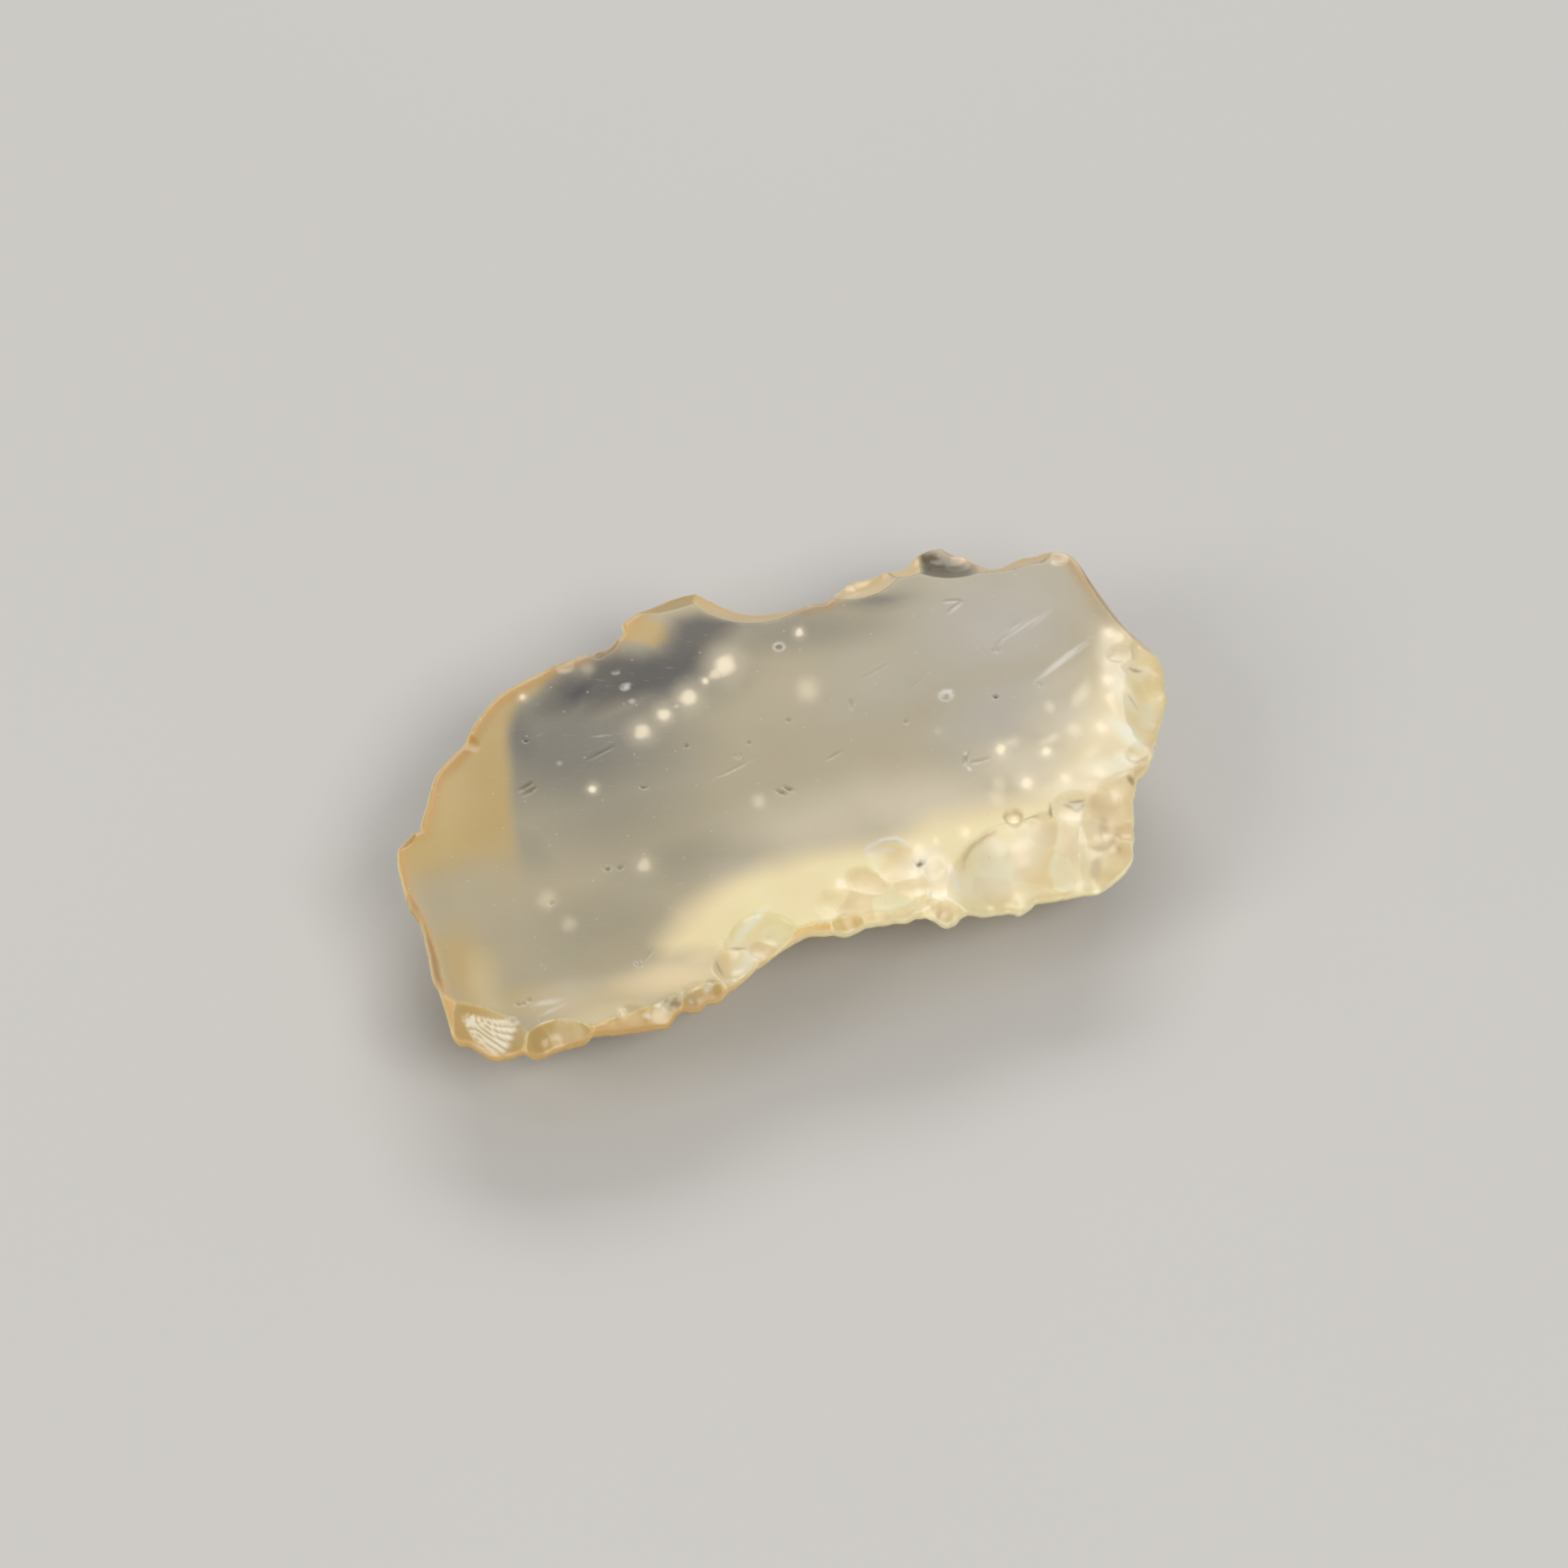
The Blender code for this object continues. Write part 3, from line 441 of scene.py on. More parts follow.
# Pale streaks, and painted glints: the small bright spots at the pits are painted highlights
STREAKS_AND_GLINTS = [
    (10.98, 2.19, 1.25, 0.1, 22, 0.9), (10.33, 4.12, 0.85, 0.12, 13, 0.35), (11.0, 4.1, 0.6, 0.1, 27, 0.25),
    (-1.0, 2.0, 1.0, 0.05, 10, 0.25), (-10.2, -4.72, 0.5, 0.13, -8, 0.55),
    (-10.15, -5.08, 0.55, 0.06, 8, 0.45), (-6.86, -4.36, 0.18, 0.06, -40, 0.9),
    (-7.35, -6.35, 0.16, 0.06, -25, 0.7), (-5.1, -6.08, 0.2, 0.07, 5, 0.8),
    (-5.77, -6.28, 0.12, 0.06, 0, 0.7), (8.53, 6.0, 0.24, 0.05, -18, 0.8),
    (8.55, 5.72, 0.28, 0.06, 25, 0.9), (6.37, -0.33, 0.1, 0.06, 40, 0.9), (6.22, -1.0, 0.07, 0.14, 10, 0.9),
    (9.82, 1.46, 0.08, 0.08, 0, 1.0), (9.07, 3.43, 0.14, 0.08, 20, 0.9), (-4.5, 5.1, 0.35, 0.04, -15, 0.35),
    (-2.95, 6.82, 0.17, 0.12, 20, 1.0), (-3.0, 6.15, 0.12, 0.09, 0, 0.9), (-3.05, 7.5, 0.12, 0.09, 0, 0.6),
    (-6.2, 4.57, 0.1, 0.08, 0, 1.0), (-0.64, 2.51, 0.1, 0.08, 0, 0.8), (-10.72, -6.4, 0.18, 0.08, 25, 0.9),
    (-11.5, -6.35, 0.14, 0.06, 10, 0.7), (-13.33, -4.05, 0.05, 0.2, -8, 0.8),
    (12.98, -0.5, 0.16, 0.07, -10, 0.6), (8.9, -3.86, 0.28, 0.12, -20, 0.6),
    (9.42, -5.08, 0.1, 0.2, 0, 0.5),
]
# Dark marks; the three faint ones at the front right corner, from x 8.7 to 9.5, are painted soft shadows
DARK_MARKS_AND_SHADOWS = [
    (8.62, 8.02, 0.08, 0.42, -41, 1.0), (9.16, 7.1, 0.28, 0.07, -27, 0.9), (8.3, 7.55, 0.14, 0.09, 20, 0.8),
    (8.95, -3.62, 0.35, 0.07, -18, 0.55), (8.02, -3.7, 0.06, 0.28, -24, 0.5),
    (9.5, -4.75, 0.18, 0.5, -25, 0.25), (8.7, -5.9, 0.5, 0.2, 60, 0.22), (9.3, -5.3, 0.5, 0.14, 0, 0.22),
    (3.22, -3.98, 0.11, 0.07, 30, 1.0), (7.7, -6.55, 0.45, 0.06, -18, 0.5), (6.8, -6.3, 0.14, 0.06, 0, 0.7),
    (11.05, -3.45, 0.12, 0.22, 15, 0.6), (-4.7, 8.56, 0.6, 0.06, 10, 0.6), (-3.1, 8.75, 0.3, 0.05, 10, 0.5),
    (7.2, -3.72, 0.4, 0.05, 0, 0.5), (12.5, -0.1, 0.06, 0.5, 10, 0.35), (13.1, 0.95, 0.3, 0.05, -15, 0.5),
    (8.27, 1.55, 0.06, 0.06, 0, 0.9), (-3.6, -4.93, 0.35, 0.05, -5, 0.5), (-4.47, -5.5, 0.06, 0.3, 5, 0.4),
    (0.12, 0.5, 0.12, 0.05, 30, 0.4), (0.4, 0.55, 0.1, 0.05, -40, 0.4), (-7.6, 3.9, 0.25, 0.05, 15, 0.3),
]
# Bowls of the face that show a colour of their own, each with how strongly
OLIVE_FACETS = {
    "olive scoop": 1.0, "front strip": 0.62, "front lobe": 0.5, "fan scar side": 0.85, "front shelf": 0.45,
    "front nick": 0.6, "fan scar": 0.45, "low notch": 0.4, "front strip chip": 0.25, "front roll": 0.2,
}
CREAM_FACETS = {
    "tip scoop": 1.0, "peak left": 0.8, "back chip": 0.75, "bay strip": 0.6, "back strip": 0.5,
    "cream lobe in front": 0.5, "step nick": 0.6,
}
DARK_FACETS = {"peak right": 0.8}
OCHRE_FACETS = {"right edge strip": 0.7}

# Thin painted highlight lines on the face: the points that each runs through, its width and its strength
LIGHT_LINES = [
    ([(1.5, -3.0), (1.91, -2.77), (2.4, -2.69), (2.88, -2.79), (3.04, -3.08), (3.14, -3.35)], 0.07, 0.9),
    ([(1.6, -3.09), (2.01, -3.03), (2.46, -3.12), (2.79, -3.35)], 0.06, 0.7),
    ([(3.9, -4.29), (4.06, -4.8), (4.1, -5.54)], 0.1, 0.8),
    ([(6.57, 2.2), (6.63, 2.38), (6.78, 2.44), (6.93, 2.36), (6.93, 2.2), (6.82, 2.08)], 0.07, 1.6),
]
# And thin dark ones, in the same terms
DARK_LINES = [
    ([(4.32, -4.85), (4.6, -4.42), (5.05, -4.05), (5.6, -3.82), (6.3, -3.72)], 0.06, 0.32),
    ([(8.5, -3.45), (8.85, -3.95), (9.3, -3.8)], 0.06, 0.45),
    ([(9.9, -4.9), (9.6, -5.3), (9.75, -5.75)], 0.07, 0.25),
]

# Cream specks inside the glass: x, y, radius and strength
SPECKS = [
    (3.27, 6.73, 0.16, 0.9), (-0.43, 6.0, 0.15, 0.9), (-1.22, 5.52, 0.36, 0.86), (-2.25, 5.17, 0.26, 0.86),
    (2.57, 4.27, 0.45, 0.45), (-5.59, 3.08, 0.15, 1), (-0.73, 0.44, 0.26, 0.45), (-6.33, 7.73, 0.12, 0.9),
    (-5.21, -0.61, 0.28, 0.6), (-8.67, -0.73, 0.36, 0.35), (-8.39, -1.96, 0.28, 0.35), (-8.07, -6.0, 0.11, 1),
    (12.88, 2.6, 0.2, 0.8), (13.1, 2.36, 0.2, 0.7), (12.01, 0.78, 0.21, 1), (12.44, 0.19, 0.17, 1),
    (11.79, 0.03, 0.22, 0.9), (10.99, -1.08, 0.22, 1), (9.75, 0.43, 0.2, 0.5), (10.1, -0.82, 0.26, 0.5),
    (7.51, -0.65, 0.21, 1), (8.07, -0.51, 0.2, 0.4), (8.87, -1.29, 0.17, 1), (7.73, -2.3, 0.25, 1),
    (9.0, -2.63, 0.2, 0.9), (10.16, -2.82, 0.22, 0.8), (6.75, -3.52, 0.12, 1), (8.51, -4.25, 0.22, 0.7),
    (9.4, -5.08, 0.12, 0.8), (7.94, -6.37, 0.17, 0.8), (8.36, -6.6, 0.12, 0.8), (3.29, -3.64, 0.27, 1),
    (2.9, -4.42, 0.22, 1), (3.54, -4.23, 0.22, 1), (0.43, -3.92, 0.22, 1), (3.4, -5.5, 0.42, 0.7),
    (2.67, -5.14, 0.2, 0.7), (2.75, -5.85, 0.22, 0.9), (5.06, -3.45, 0.17, 0.9), (5.9, -5.8, 0.24, 0.7),
    (6.6, -4.55, 0.4, 0.6), (4.04, -3.45, 0.1, 0.8), (6.87, -2.0, 0.26, 0.4), (10.66, 0.26, 0.18, 0.4),
    (6.6, -2.5, 0.3, 0.4), (5.9, 0.9, 0.15, 0.25), (-3.87, 8.0, 0.24, 0.3), (10.35, -3.7, 0.16, 0.7),
    (9.6, -3.35, 0.18, 0.6), (12.2, 1.35, 0.16, 0.4), (1.9, -4.2, 0.18, 0.45), (0.9, -4.75, 0.3, 0.4),
]
# The long ones: middle x and y, half length, half width, turn in degrees, strength
LONG_SPECKS = [
    (0.42, 6.37, 0.56, 0.44, 60, 0.9), (0.0, 6.15, 0.36, 0.26, 35, 0.75), (-3.18, 4.73, 0.4, 0.34, 68, 0.8),
    (-1.75, 5.33, 0.12, 0.09, 35, 0.55),
    (10.95, 0.55, 0.62, 0.24, 45, 0.5), (9.2, -0.88, 0.45, 0.22, 15, 0.5), (7.95, -0.48, 0.4, 0.2, -5, 0.45),
    (11.7, -0.35, 0.45, 0.17, 75, 0.6), (3.95, -4.45, 0.5, 0.12, -75, 0.8), (1.0, -4.3, 0.6, 0.35, 10, 0.35),
    (8.1, -4.75, 0.45, 0.16, 40, 0.5), (9.0, -5.1, 0.55, 0.14, -8, 0.45), (10.25, -1.9, 0.5, 0.2, 30, 0.4),
]

# The colours as they look, out of 255
GREY_GLASS = (177, 169, 142)
WARM_GREY_GLASS = (184, 173, 141)
# the colour of the painted shade
PAINTED_SHADE_GLASS = (116, 113, 101)
# the colour of the painted sheen
PAINTED_SHEEN_GLASS = (186, 183, 177)
# the colour of the painted light
PAINTED_LIGHT_GLASS = (226, 217, 192)
WHITE_GLASS_AND_HIGHLIGHT = (255, 247, 224)
TAN_GLASS = (201, 174, 106)
PAINTED_GLOW_CREAM = (255, 239, 190)
# the colour of the painted dark reflection
DARK_REFLECTION_COLOUR = (30, 28, 30)
STREAK_AND_GLINT_COLOUR = (236, 235, 229)
DARK_COLOUR = (64, 58, 48)
OLIVE_GLASS = (226, 190, 96)
MILK_GLASS = (248, 232, 200)
OCHRE_GLASS = (186, 158, 90)
DUST_COLOUR = (214, 208, 190)
SPECK_COLOUR = (236, 224, 196)
FACET_CREAM = (250, 230, 184)
# painted glow within the rim
PAINTED_RIM_GLOW_ORANGE = (214, 152, 72)
# painted highlight, on the rim and on the ridges' crests
PAINTED_HIGHLIGHT_CREAM = (255, 233, 182)
WALL_GLASS = (214, 190, 132)
WALL_CREAM = (236, 214, 160)
AMBER_GLASS = (196, 150, 76)

# The colours over the plain glass, painted light and shade among them, in the order that they lie over one
# another, and their strengths
LAYERS = [
    # painted shade
    ("painted shade", PAINTED_SHADE_GLASS, 0.95),
    # painted sheen
    ("painted sheen", PAINTED_SHEEN_GLASS, 0.9),
    # pale: painted light
    ("pale", PAINTED_LIGHT_GLASS, 0.95),
    ("warm", TAN_GLASS, 0.95),
    # glow: painted light
    ("glow", PAINTED_GLOW_CREAM, 0.96),
    ("milk", MILK_GLASS, 0.9),
    ("ochre", OCHRE_GLASS, 0.8),
    # painted dark reflection
    ("painted dark reflection", DARK_REFLECTION_COLOUR, 1.0),
    ("facet cream", FACET_CREAM, 0.95),
    ("olive", OLIVE_GLASS, 0.95),
    # white: white glass, with the fan's painted highlights
    ("white", WHITE_GLASS_AND_HIGHLIGHT, 0.95),
    # rim glow: painted light
    ("rim glow", PAINTED_RIM_GLOW_ORANGE, 0.42),
    # dark: dark marks, with painted shade on the back crests and painted shadows among them
    ("dark", DARK_COLOUR, 0.85),
    # crest: painted highlight on the ridges
    ("crest", PAINTED_HIGHLIGHT_CREAM, 0.8),
    # streak and glint: pale streaks, with painted highlights at the pits
    ("streak and glint", STREAK_AND_GLINT_COLOUR, 0.9),
    ("speck", SPECK_COLOUR, 0.9),
    # rim: painted highlight
    ("rim", PAINTED_HIGHLIGHT_CREAM, 1.0),
    ("amber", AMBER_GLASS, 0.75),
]
CLOUDED = ("warm", "glow", "pale", "painted sheen", "milk")  # those that are a little stronger in some places
CLOUD_SIZE = 2.2
CLOUD_RANGE = (0.3, 0.7)  # the noise's values where they are weakest, and full
LEAST_CLOUDED = 0.88

# The glass itself: sizes of its clouds in millimetres, its finish, its depth, its grain and the dust on it
FACE_CLOUD = 5.0
WARMTH_RANGE = (0.35, 0.7)  # the noise's values where the warm grey starts, and is full
WALL_CLOUD = 2.4
CREAM_RANGE = (0.4, 0.62)  # and where the wall's cream does
CLOUD_ROUGHNESS = 0.55  # how strong the finer clouds within a cloud are
GLASS_IOR = 1.46
FACE_ROUGHNESS = 0.3
WALL_ROUGHNESS = 0.2
CLEARNESS = 0.3  # share of the light that goes straight through, but for the specks
GLOW_SHARE = 0.9  # share of the rest that wanders about under the surface
GLOW_COLOUR_REACH = (1.0, 0.95, 0.85)
GLOW_REACH = 0.8  # in millimetres
DEPTH_COLOUR = (0.96, 0.86, 0.6, 1)  # what is left of white light in deep glass
DEPTH_DENSITY = 150  # for each metre
GRAIN_SIZE = 0.25  # the broken glass's fine grain
GRAIN_HEIGHT = 0.02
GRAIN_STRENGTH = 0.25
DUST_LENGTH = 0.4  # faint streaks of dust on the glass
DUST_WIDTH = 0.1
DUST_TURN = -20  # degrees
DUST_RANGE = (0.64, 0.76)
DUST_STRENGTH = 0.14
DOT_GAP = 1.7  # and fine dots of it
DOT_SIZE = (0.016, 0.032)  # radii at which a dot starts to fade, and ends, as shares of that gap
DOT_STRENGTH = 0.4

# The camera, as the photograph was taken
CAMERA_DISTANCE = 250
CAMERA_ELEVATION = math.radians(50)
CAMERA_TURN = math.radians(22)  # from the picture's right to the flake's long way, seen from above
PICTURE_SCALE = 0.0325  # millimetres a pixel at that distance
MIDDLE_PIXEL = (800, 820)  # where the face over the drawing's zero shows
SENSOR = 36
NEAREST_SEEN = 5  # millimetres before the camera

# The floor and the light, in metres and watts: each softbox's name, place, size, power and colour
FLOOR_SIDE = 3
FLOOR_COLOURS = ((0.49, 0.485, 0.47, 1), (0.52, 0.515, 0.5, 1))
FLOOR_CLOUD = 60  # in millimetres
FLOOR_ROUGHNESS = 0.7
ROOM_COLOUR = (0.94, 0.95, 1.0, 1)
ROOM_STRENGTH = 0.35
SOFTBOXES = [
    ("back softbox", (0.12, 0.3, 0.26), (0.3, 0.16), 0.8, (1.0, 0.98, 0.95)),
    ("left softbox", (-0.3, -0.02, 0.2), (0.16, 0.2), 0.45, (1.0, 0.95, 0.88)),
    ("front softbox", (0.08, -0.3, 0.34), (0.3, 0.2), 1.24, (1.0, 0.97, 0.92)),
]


def edge_curve(points, step):
    """Closed curve through the points, as points a step apart, anticlockwise."""
    points = np.array(points[::-1], float)
    before, after, beyond = (np.roll(points, shift, axis=0) for shift in (1, -1, -2))
    fine = []
    for t in np.linspace(0, 1, CURVE_PIECES, endpoint=False):
        fine.append(
            0.5 * (2 * points + (after - before) * t + (2 * before - 5 * points + 4 * after - beyond) * t**2
                   + (3 * points - before - 3 * after + beyond) * t**3)
        )
    fine = np.stack(fine, axis=1).reshape(-1, 2)
    closed = np.vstack([fine, fine[:1]])
    run = np.concatenate([[0], np.cumsum(np.linalg.norm(np.diff(closed, axis=0), axis=1))])
    count = round(run[-1] / step)
    at = np.arange(count) * run[-1] / count
    return np.stack([np.interp(at, run, closed[:, axis]) for axis in (0, 1)], axis=1)


def waves(points, size, seed):
    """Smooth random values, mostly from -1 to 1, over places in the plan or in space, in waves of a size."""
    places = np.zeros((len(points), 3))
    places[:, :points.shape[1]] = points / size
    places += WAVE_SHIFT * seed
    return np.array([noise.noise(Vector(place)) for place in places])


def drift(points, size, reach, seed):
    """How far waves of a size move each point along both ways of the plan, mostly within a reach."""
    return np.stack([waves(points, size, seed), waves(points, size, seed + 1)], axis=1) * reach


def raised(values):
    """Values from -1 to 1 as values from nothing to one."""
    return 0.5 + 0.5 * values


def cells(points, size, seed):
    """Shallow dents of a size all over space, with sharp edges: one in a dent's middle, less at its rim."""
    places = points / size + CELL_SHIFT * seed
    return np.array([1 - min(noise.voronoi(Vector(place))[0][0], 1) ** 2 for place in places])


def smooth_step(values, low, high):
    t = np.clip((values - low) / (high - low), 0, 1)
    return t * t * (3 - 2 * t)


def evened(values, reach):
    """Values along the edge, each the mean of those within a reach of it to both sides."""
    steps = round(reach / EDGE_STEP)
    return np.mean([np.roll(values, shift, axis=0) for shift in range(-steps, steps + 1)], axis=0)


class Outline:
    """A closed line in the plan: its points, the way in at each, and how deep within it any place lies."""

    def __init__(self, points):
        self.points = points
        self.inward = self.way_in(points)
        self.tree = KDTree(len(points))
        for number, (x, y) in enumerate(points):
            self.tree.insert((x, y, 0), number)
        self.tree.balance()

    @staticmethod
    def way_in(points):
        across = np.roll(points, -1, axis=0) - np.roll(points, 1, axis=0)
        return np.stack([-across[:, 1], across[:, 0]], axis=1) / np.linalg.norm(across, axis=1)[:, None]

    def depth(self, places):
        """How far in from the line each place lies, less than nothing outside, and its nearest point."""
        nearest = np.array([self.tree.find((x, y, 0))[1] for x, y in places])
        offset = places - self.points[nearest]
        inward = self.inward[nearest]
        in_way = (offset * inward).sum(axis=1)
        along = np.abs(offset[:, 0] * inward[:, 1] - offset[:, 1] * inward[:, 0])
        gap = (offset**2).sum(axis=1) - np.minimum(along, EDGE_STEP / 2) ** 2
        return np.sign(in_way) * np.sqrt(np.maximum(gap, 0)), nearest


class Rim(Outline):
    """The flake's edge, with the tops and the slopes of the walls under it."""

    def __init__(self, points):
        super().__init__(self.bitten(points))
        self.top = face_height(self.points)[0] - EDGE_DROP
        self.fall = self.wall_fall(WALL_SLOPE)
        self.broad = Outline(evened(self.points, BROAD_REACH))
        self.broad_top = evened(self.top, BROAD_REACH)
        self.broad_fall = self.wall_fall(BROAD_SLOPE)

    def bitten(self, points):
        """The edge with the small bites that chipping leaves."""
        depth = sum(height * np.maximum(waves(points, size, seed=3), 0) * 2 for size, height in EDGE_BITES)
        return points + self.way_in(points) * depth[:, None]

    def wall_fall(self, slope):
        """How fast a wall falls under each edge point, for each millimetre in."""
        share = np.maximum(evened(-self.inward @ FRONT_WAY, FACING_REACH), LEAST_SHARE)
        return np.minimum(math.tan(slope), math.tan(FRONT_WALL_SLOPE) / share)

    def broad_wall(self, points):
        """Height of the broad wall over each point: it runs on upwards outside its own outline."""
        depth, nearest = self.broad.depth(points)
        return self.broad_top[nearest] - self.broad_fall[nearest] * (depth + BROAD_GAP)


def face_plane(x):
    return FACE_HEIGHT + FACE_CLIMB * x


def bowl(middle_x, middle_y, radius, depth, x, y):
    """Height of one bowl's inside over the points, and how far they lie from its middle."""
    ball = (radius**2 + depth**2) / (2 * depth)
    reach = np.hypot(x - middle_x, y - middle_y)
    return face_plane(x) - depth + ball - np.sqrt(np.maximum(ball**2 - reach**2, 0)), reach


def face_layers(points):
    """Heights of the plain face and of each bowl's inside over the points, by name."""
    x, y = points.T
    size, most = RIPPLE_WANDER
    wander = most * waves(points, size, seed=5)
    layers = {"plain face": face_plane(x)}
    for name, place in FACE_BOWLS.items():
        shell, reach = bowl(*place, x, y)
        layers[name] = shell + RIPPLE_HEIGHT * np.sin(2 * math.pi * reach / RIPPLE_LENGTH + wander)
    for name, place in SMALL_CHIPS.items():
        layers[name] = bowl(*place, x, y)[0]
    return layers


def dent_layers(points):
    """Depths of the dents over each point, after nothing for the places outside them all."""
    x, y = (points + drift(points, *DENT_WANDER, seed=31)).T
    depths = [np.zeros(len(points))]
    for middle_x, middle_y, radius, depth in DENTS:
        depths.append(depth * (1 - ((x - middle_x) ** 2 + (y - middle_y) ** 2) / radius**2))
    return np.array(depths)


def dent_depth(points):
    """Depth of the deepest dent over each point, and how much deeper it is than the next one."""
    second, deepest = np.sort(dent_layers(points), axis=0)[-2:]
    return deepest, deepest - second


def dent_tone(points):
    """A tone for each dent's own plane, darker below nothing and paler above it, which ends on the ridges."""
    layers = dent_layers(points)
    second, deepest = np.sort(layers, axis=0)[-2:]
    number = layers.argmax(axis=0)
    tone = np.where(number > 0, 2 * (number * TONE_STEP % 1) - 1, 0)
    return tone * smooth_step(deepest - second, 0, TONE_SOFT)


def face_height(points):
    """Height of the face over each point, and how far off its next surface lies: nothing on a ridge."""
    low, second = np.sort(list(face_layers(points).values()), axis=0)[:2]
    meeting = np.maximum(SOFT_RIDGE - (second - low), 0)
    dent, between_dents = dent_depth(points)
    return low - meeting**2 / (4 * SOFT_RIDGE) - dent, np.minimum(second - low, between_dents)


def facet_share(points, strengths, soft=FACET_SOFT):
    """How strongly each point shows the colour of some bowls, which ends softly on their ridges."""
    layers = face_layers(points)
    shown = np.zeros(len(points))
    for name, strength in strengths.items():
        others = np.min([layer for other, layer in layers.items() if other != name], axis=0)
        shown = np.maximum(shown, strength * smooth_step(others - layers[name], 0, soft))
    return shown


def segment_gap(points, start, end):
    """Distance of the points to the line from start to end, and how far along it they lie, as a share."""
    start, way = np.array(start), np.subtract(end, start)
    share = np.clip((points - start) @ way / (way @ way), 0, 1)
    return np.linalg.norm(points - start - share[:, None] * way, axis=1), share


def fan_ridges(points):
    """How far within the fan each point lies, from nothing to one, and how near it is to a ridge's crest."""
    x, y = points.T
    reach = np.hypot(x - FAN_STRUCK[0], y - FAN_STRUCK[1])
    turn = np.arctan2(y - FAN_STRUCK[1], x - FAN_STRUCK[0]) - FAN_MIDDLE
    turn = (turn + math.pi) % (2 * math.pi) - math.pi
    within = smooth_step(FAN_SPREAD - np.abs(turn), 0, FAN_SIDE_FADE) * smooth_step(reach, *FAN_STARTS)
    within *= smooth_step(FAN_REACH - reach, 0, FAN_END_FADE)
    size, wander = FAN_WANDER
    crossing = turn / FAN_SPREAD * FAN_RIDGES + wander * waves(points, size, seed=8)
    return within, np.abs(crossing % 2 - 1)


def carved(points, height, depth):
    """The face's height once its pits, its grooves and the fan of fine ridges are carved in."""
    x, y = points.T
    height = height.copy()
    off_edge = EDGE_PIT_SHARE + (1 - EDGE_PIT_SHARE) * smooth_step(depth, 0, EDGE_PIT_REACH)
    for middle_x, middle_y, radius, deep in PITS:
        share = np.hypot(x - middle_x, y - middle_y) / radius
        height -= deep * off_edge * np.clip(1 + SOFT_PIT - share**2, 0, 1) ** PIT_CURVE
    for start, end, width, deep in GROOVES:
        gap, share = segment_gap(points, start, end)
        along = np.sqrt(np.sin(math.pi * np.clip(share, *GROOVE_ENDS)))
        height -= deep * np.exp(-((gap / width * 2) ** 2)) * along
    within, crest = fan_ridges(points)
    return height - FAN_HEIGHT * within * (1 - crest) * smooth_step(depth, *FAN_OFF_EDGE)


def break_height(name, x, y):
    start, end, degrees = BREAKS[name]
    length = math.dist(start, end)
    out_x, out_y = (end[1] - start[1]) / length, (start[0] - end[0]) / length
    return ((x - start[0]) * out_x + (y - start[1]) * out_y) * math.tan(math.radians(degrees))


def hollow_height(name, middle_x, middle_y, ball, depth, x, y):
    """Top of the ball that scoops a hollow out of a break, or the floor where no ball is over the point."""
    start, end, degrees = BREAKS[name]
    length, tilt = math.dist(start, end), math.radians(degrees)
    out_x, out_y = (end[1] - start[1]) / length, (start[0] - end[0]) / length
    away = ball - depth
    ball_x = middle_x + away * math.sin(tilt) * out_x
    ball_y = middle_y + away * math.sin(tilt) * out_y
    ball_z = break_height(name, middle_x, middle_y) - away * math.cos(tilt)
    reach = ball**2 - (x - ball_x) ** 2 - (y - ball_y) ** 2
    return np.where(reach > 0, ball_z + np.sqrt(np.maximum(reach, 0)), 0)


def quarter_round(share):
    """From nothing at the edge to one where the rounding ends, as a quarter circle climbs."""
    return np.sqrt(1 - (1 - np.clip(share, 0, 1)) ** 2)


def under_height(points, rim):
    """Height of the underside over each point, and how far off the next layer lies: nothing on a ridge."""
    x, y = points.T
    depth, nearest = rim.depth(points)
    depth = np.maximum(depth, 0)
    layers = [np.zeros(len(x)), rim.top[nearest] - rim.fall[nearest] * depth, rim.broad_wall(points)]
    layers += [break_height(name, x, y) for name in BREAKS]
    layers += [hollow_height(*hollow, x, y) for hollow in HOLLOWS]
    second, high = np.sort(layers, axis=0)[-2:]
    lip = rim.top[nearest] - LIP_START * quarter_round(depth / EDGE_ROUND) - LIP_SLOPE * depth
    lip += LIP_RETURN * np.maximum(depth - LIP_REACH, 0)
    to_lip = np.abs(high - lip)
    return np.minimum(high, lip), np.where(high < lip, np.minimum(high - second, to_lip), to_lip)


def lattice(low, high, step):
    """Points of a triangular grid over a box of the plan."""
    rise = step * math.sqrt(3) / 2
    rows = np.arange(math.ceil((high[1] - low[1]) / rise))
    columns = np.arange(math.ceil((high[0] - low[0]) / step))
    row, column = (grid.ravel() for grid in np.meshgrid(rows, columns, indexing="ij"))
    return np.stack([low[0] + (column + 0.5 * (row % 2)) * step, low[1] + row * rise], axis=1)


def ridge_distance(points, surface):
    """Roughly how far each point lies from the nearest ridge of a surface."""
    here = surface(points)[1]
    east = surface(points + [NUDGE, 0])[1]
    north = surface(points + [0, NUDGE])[1]
    slope = np.hypot(east - here, north - here) / NUDGE
    return here / np.maximum(slope, LEAST_STEEPNESS)


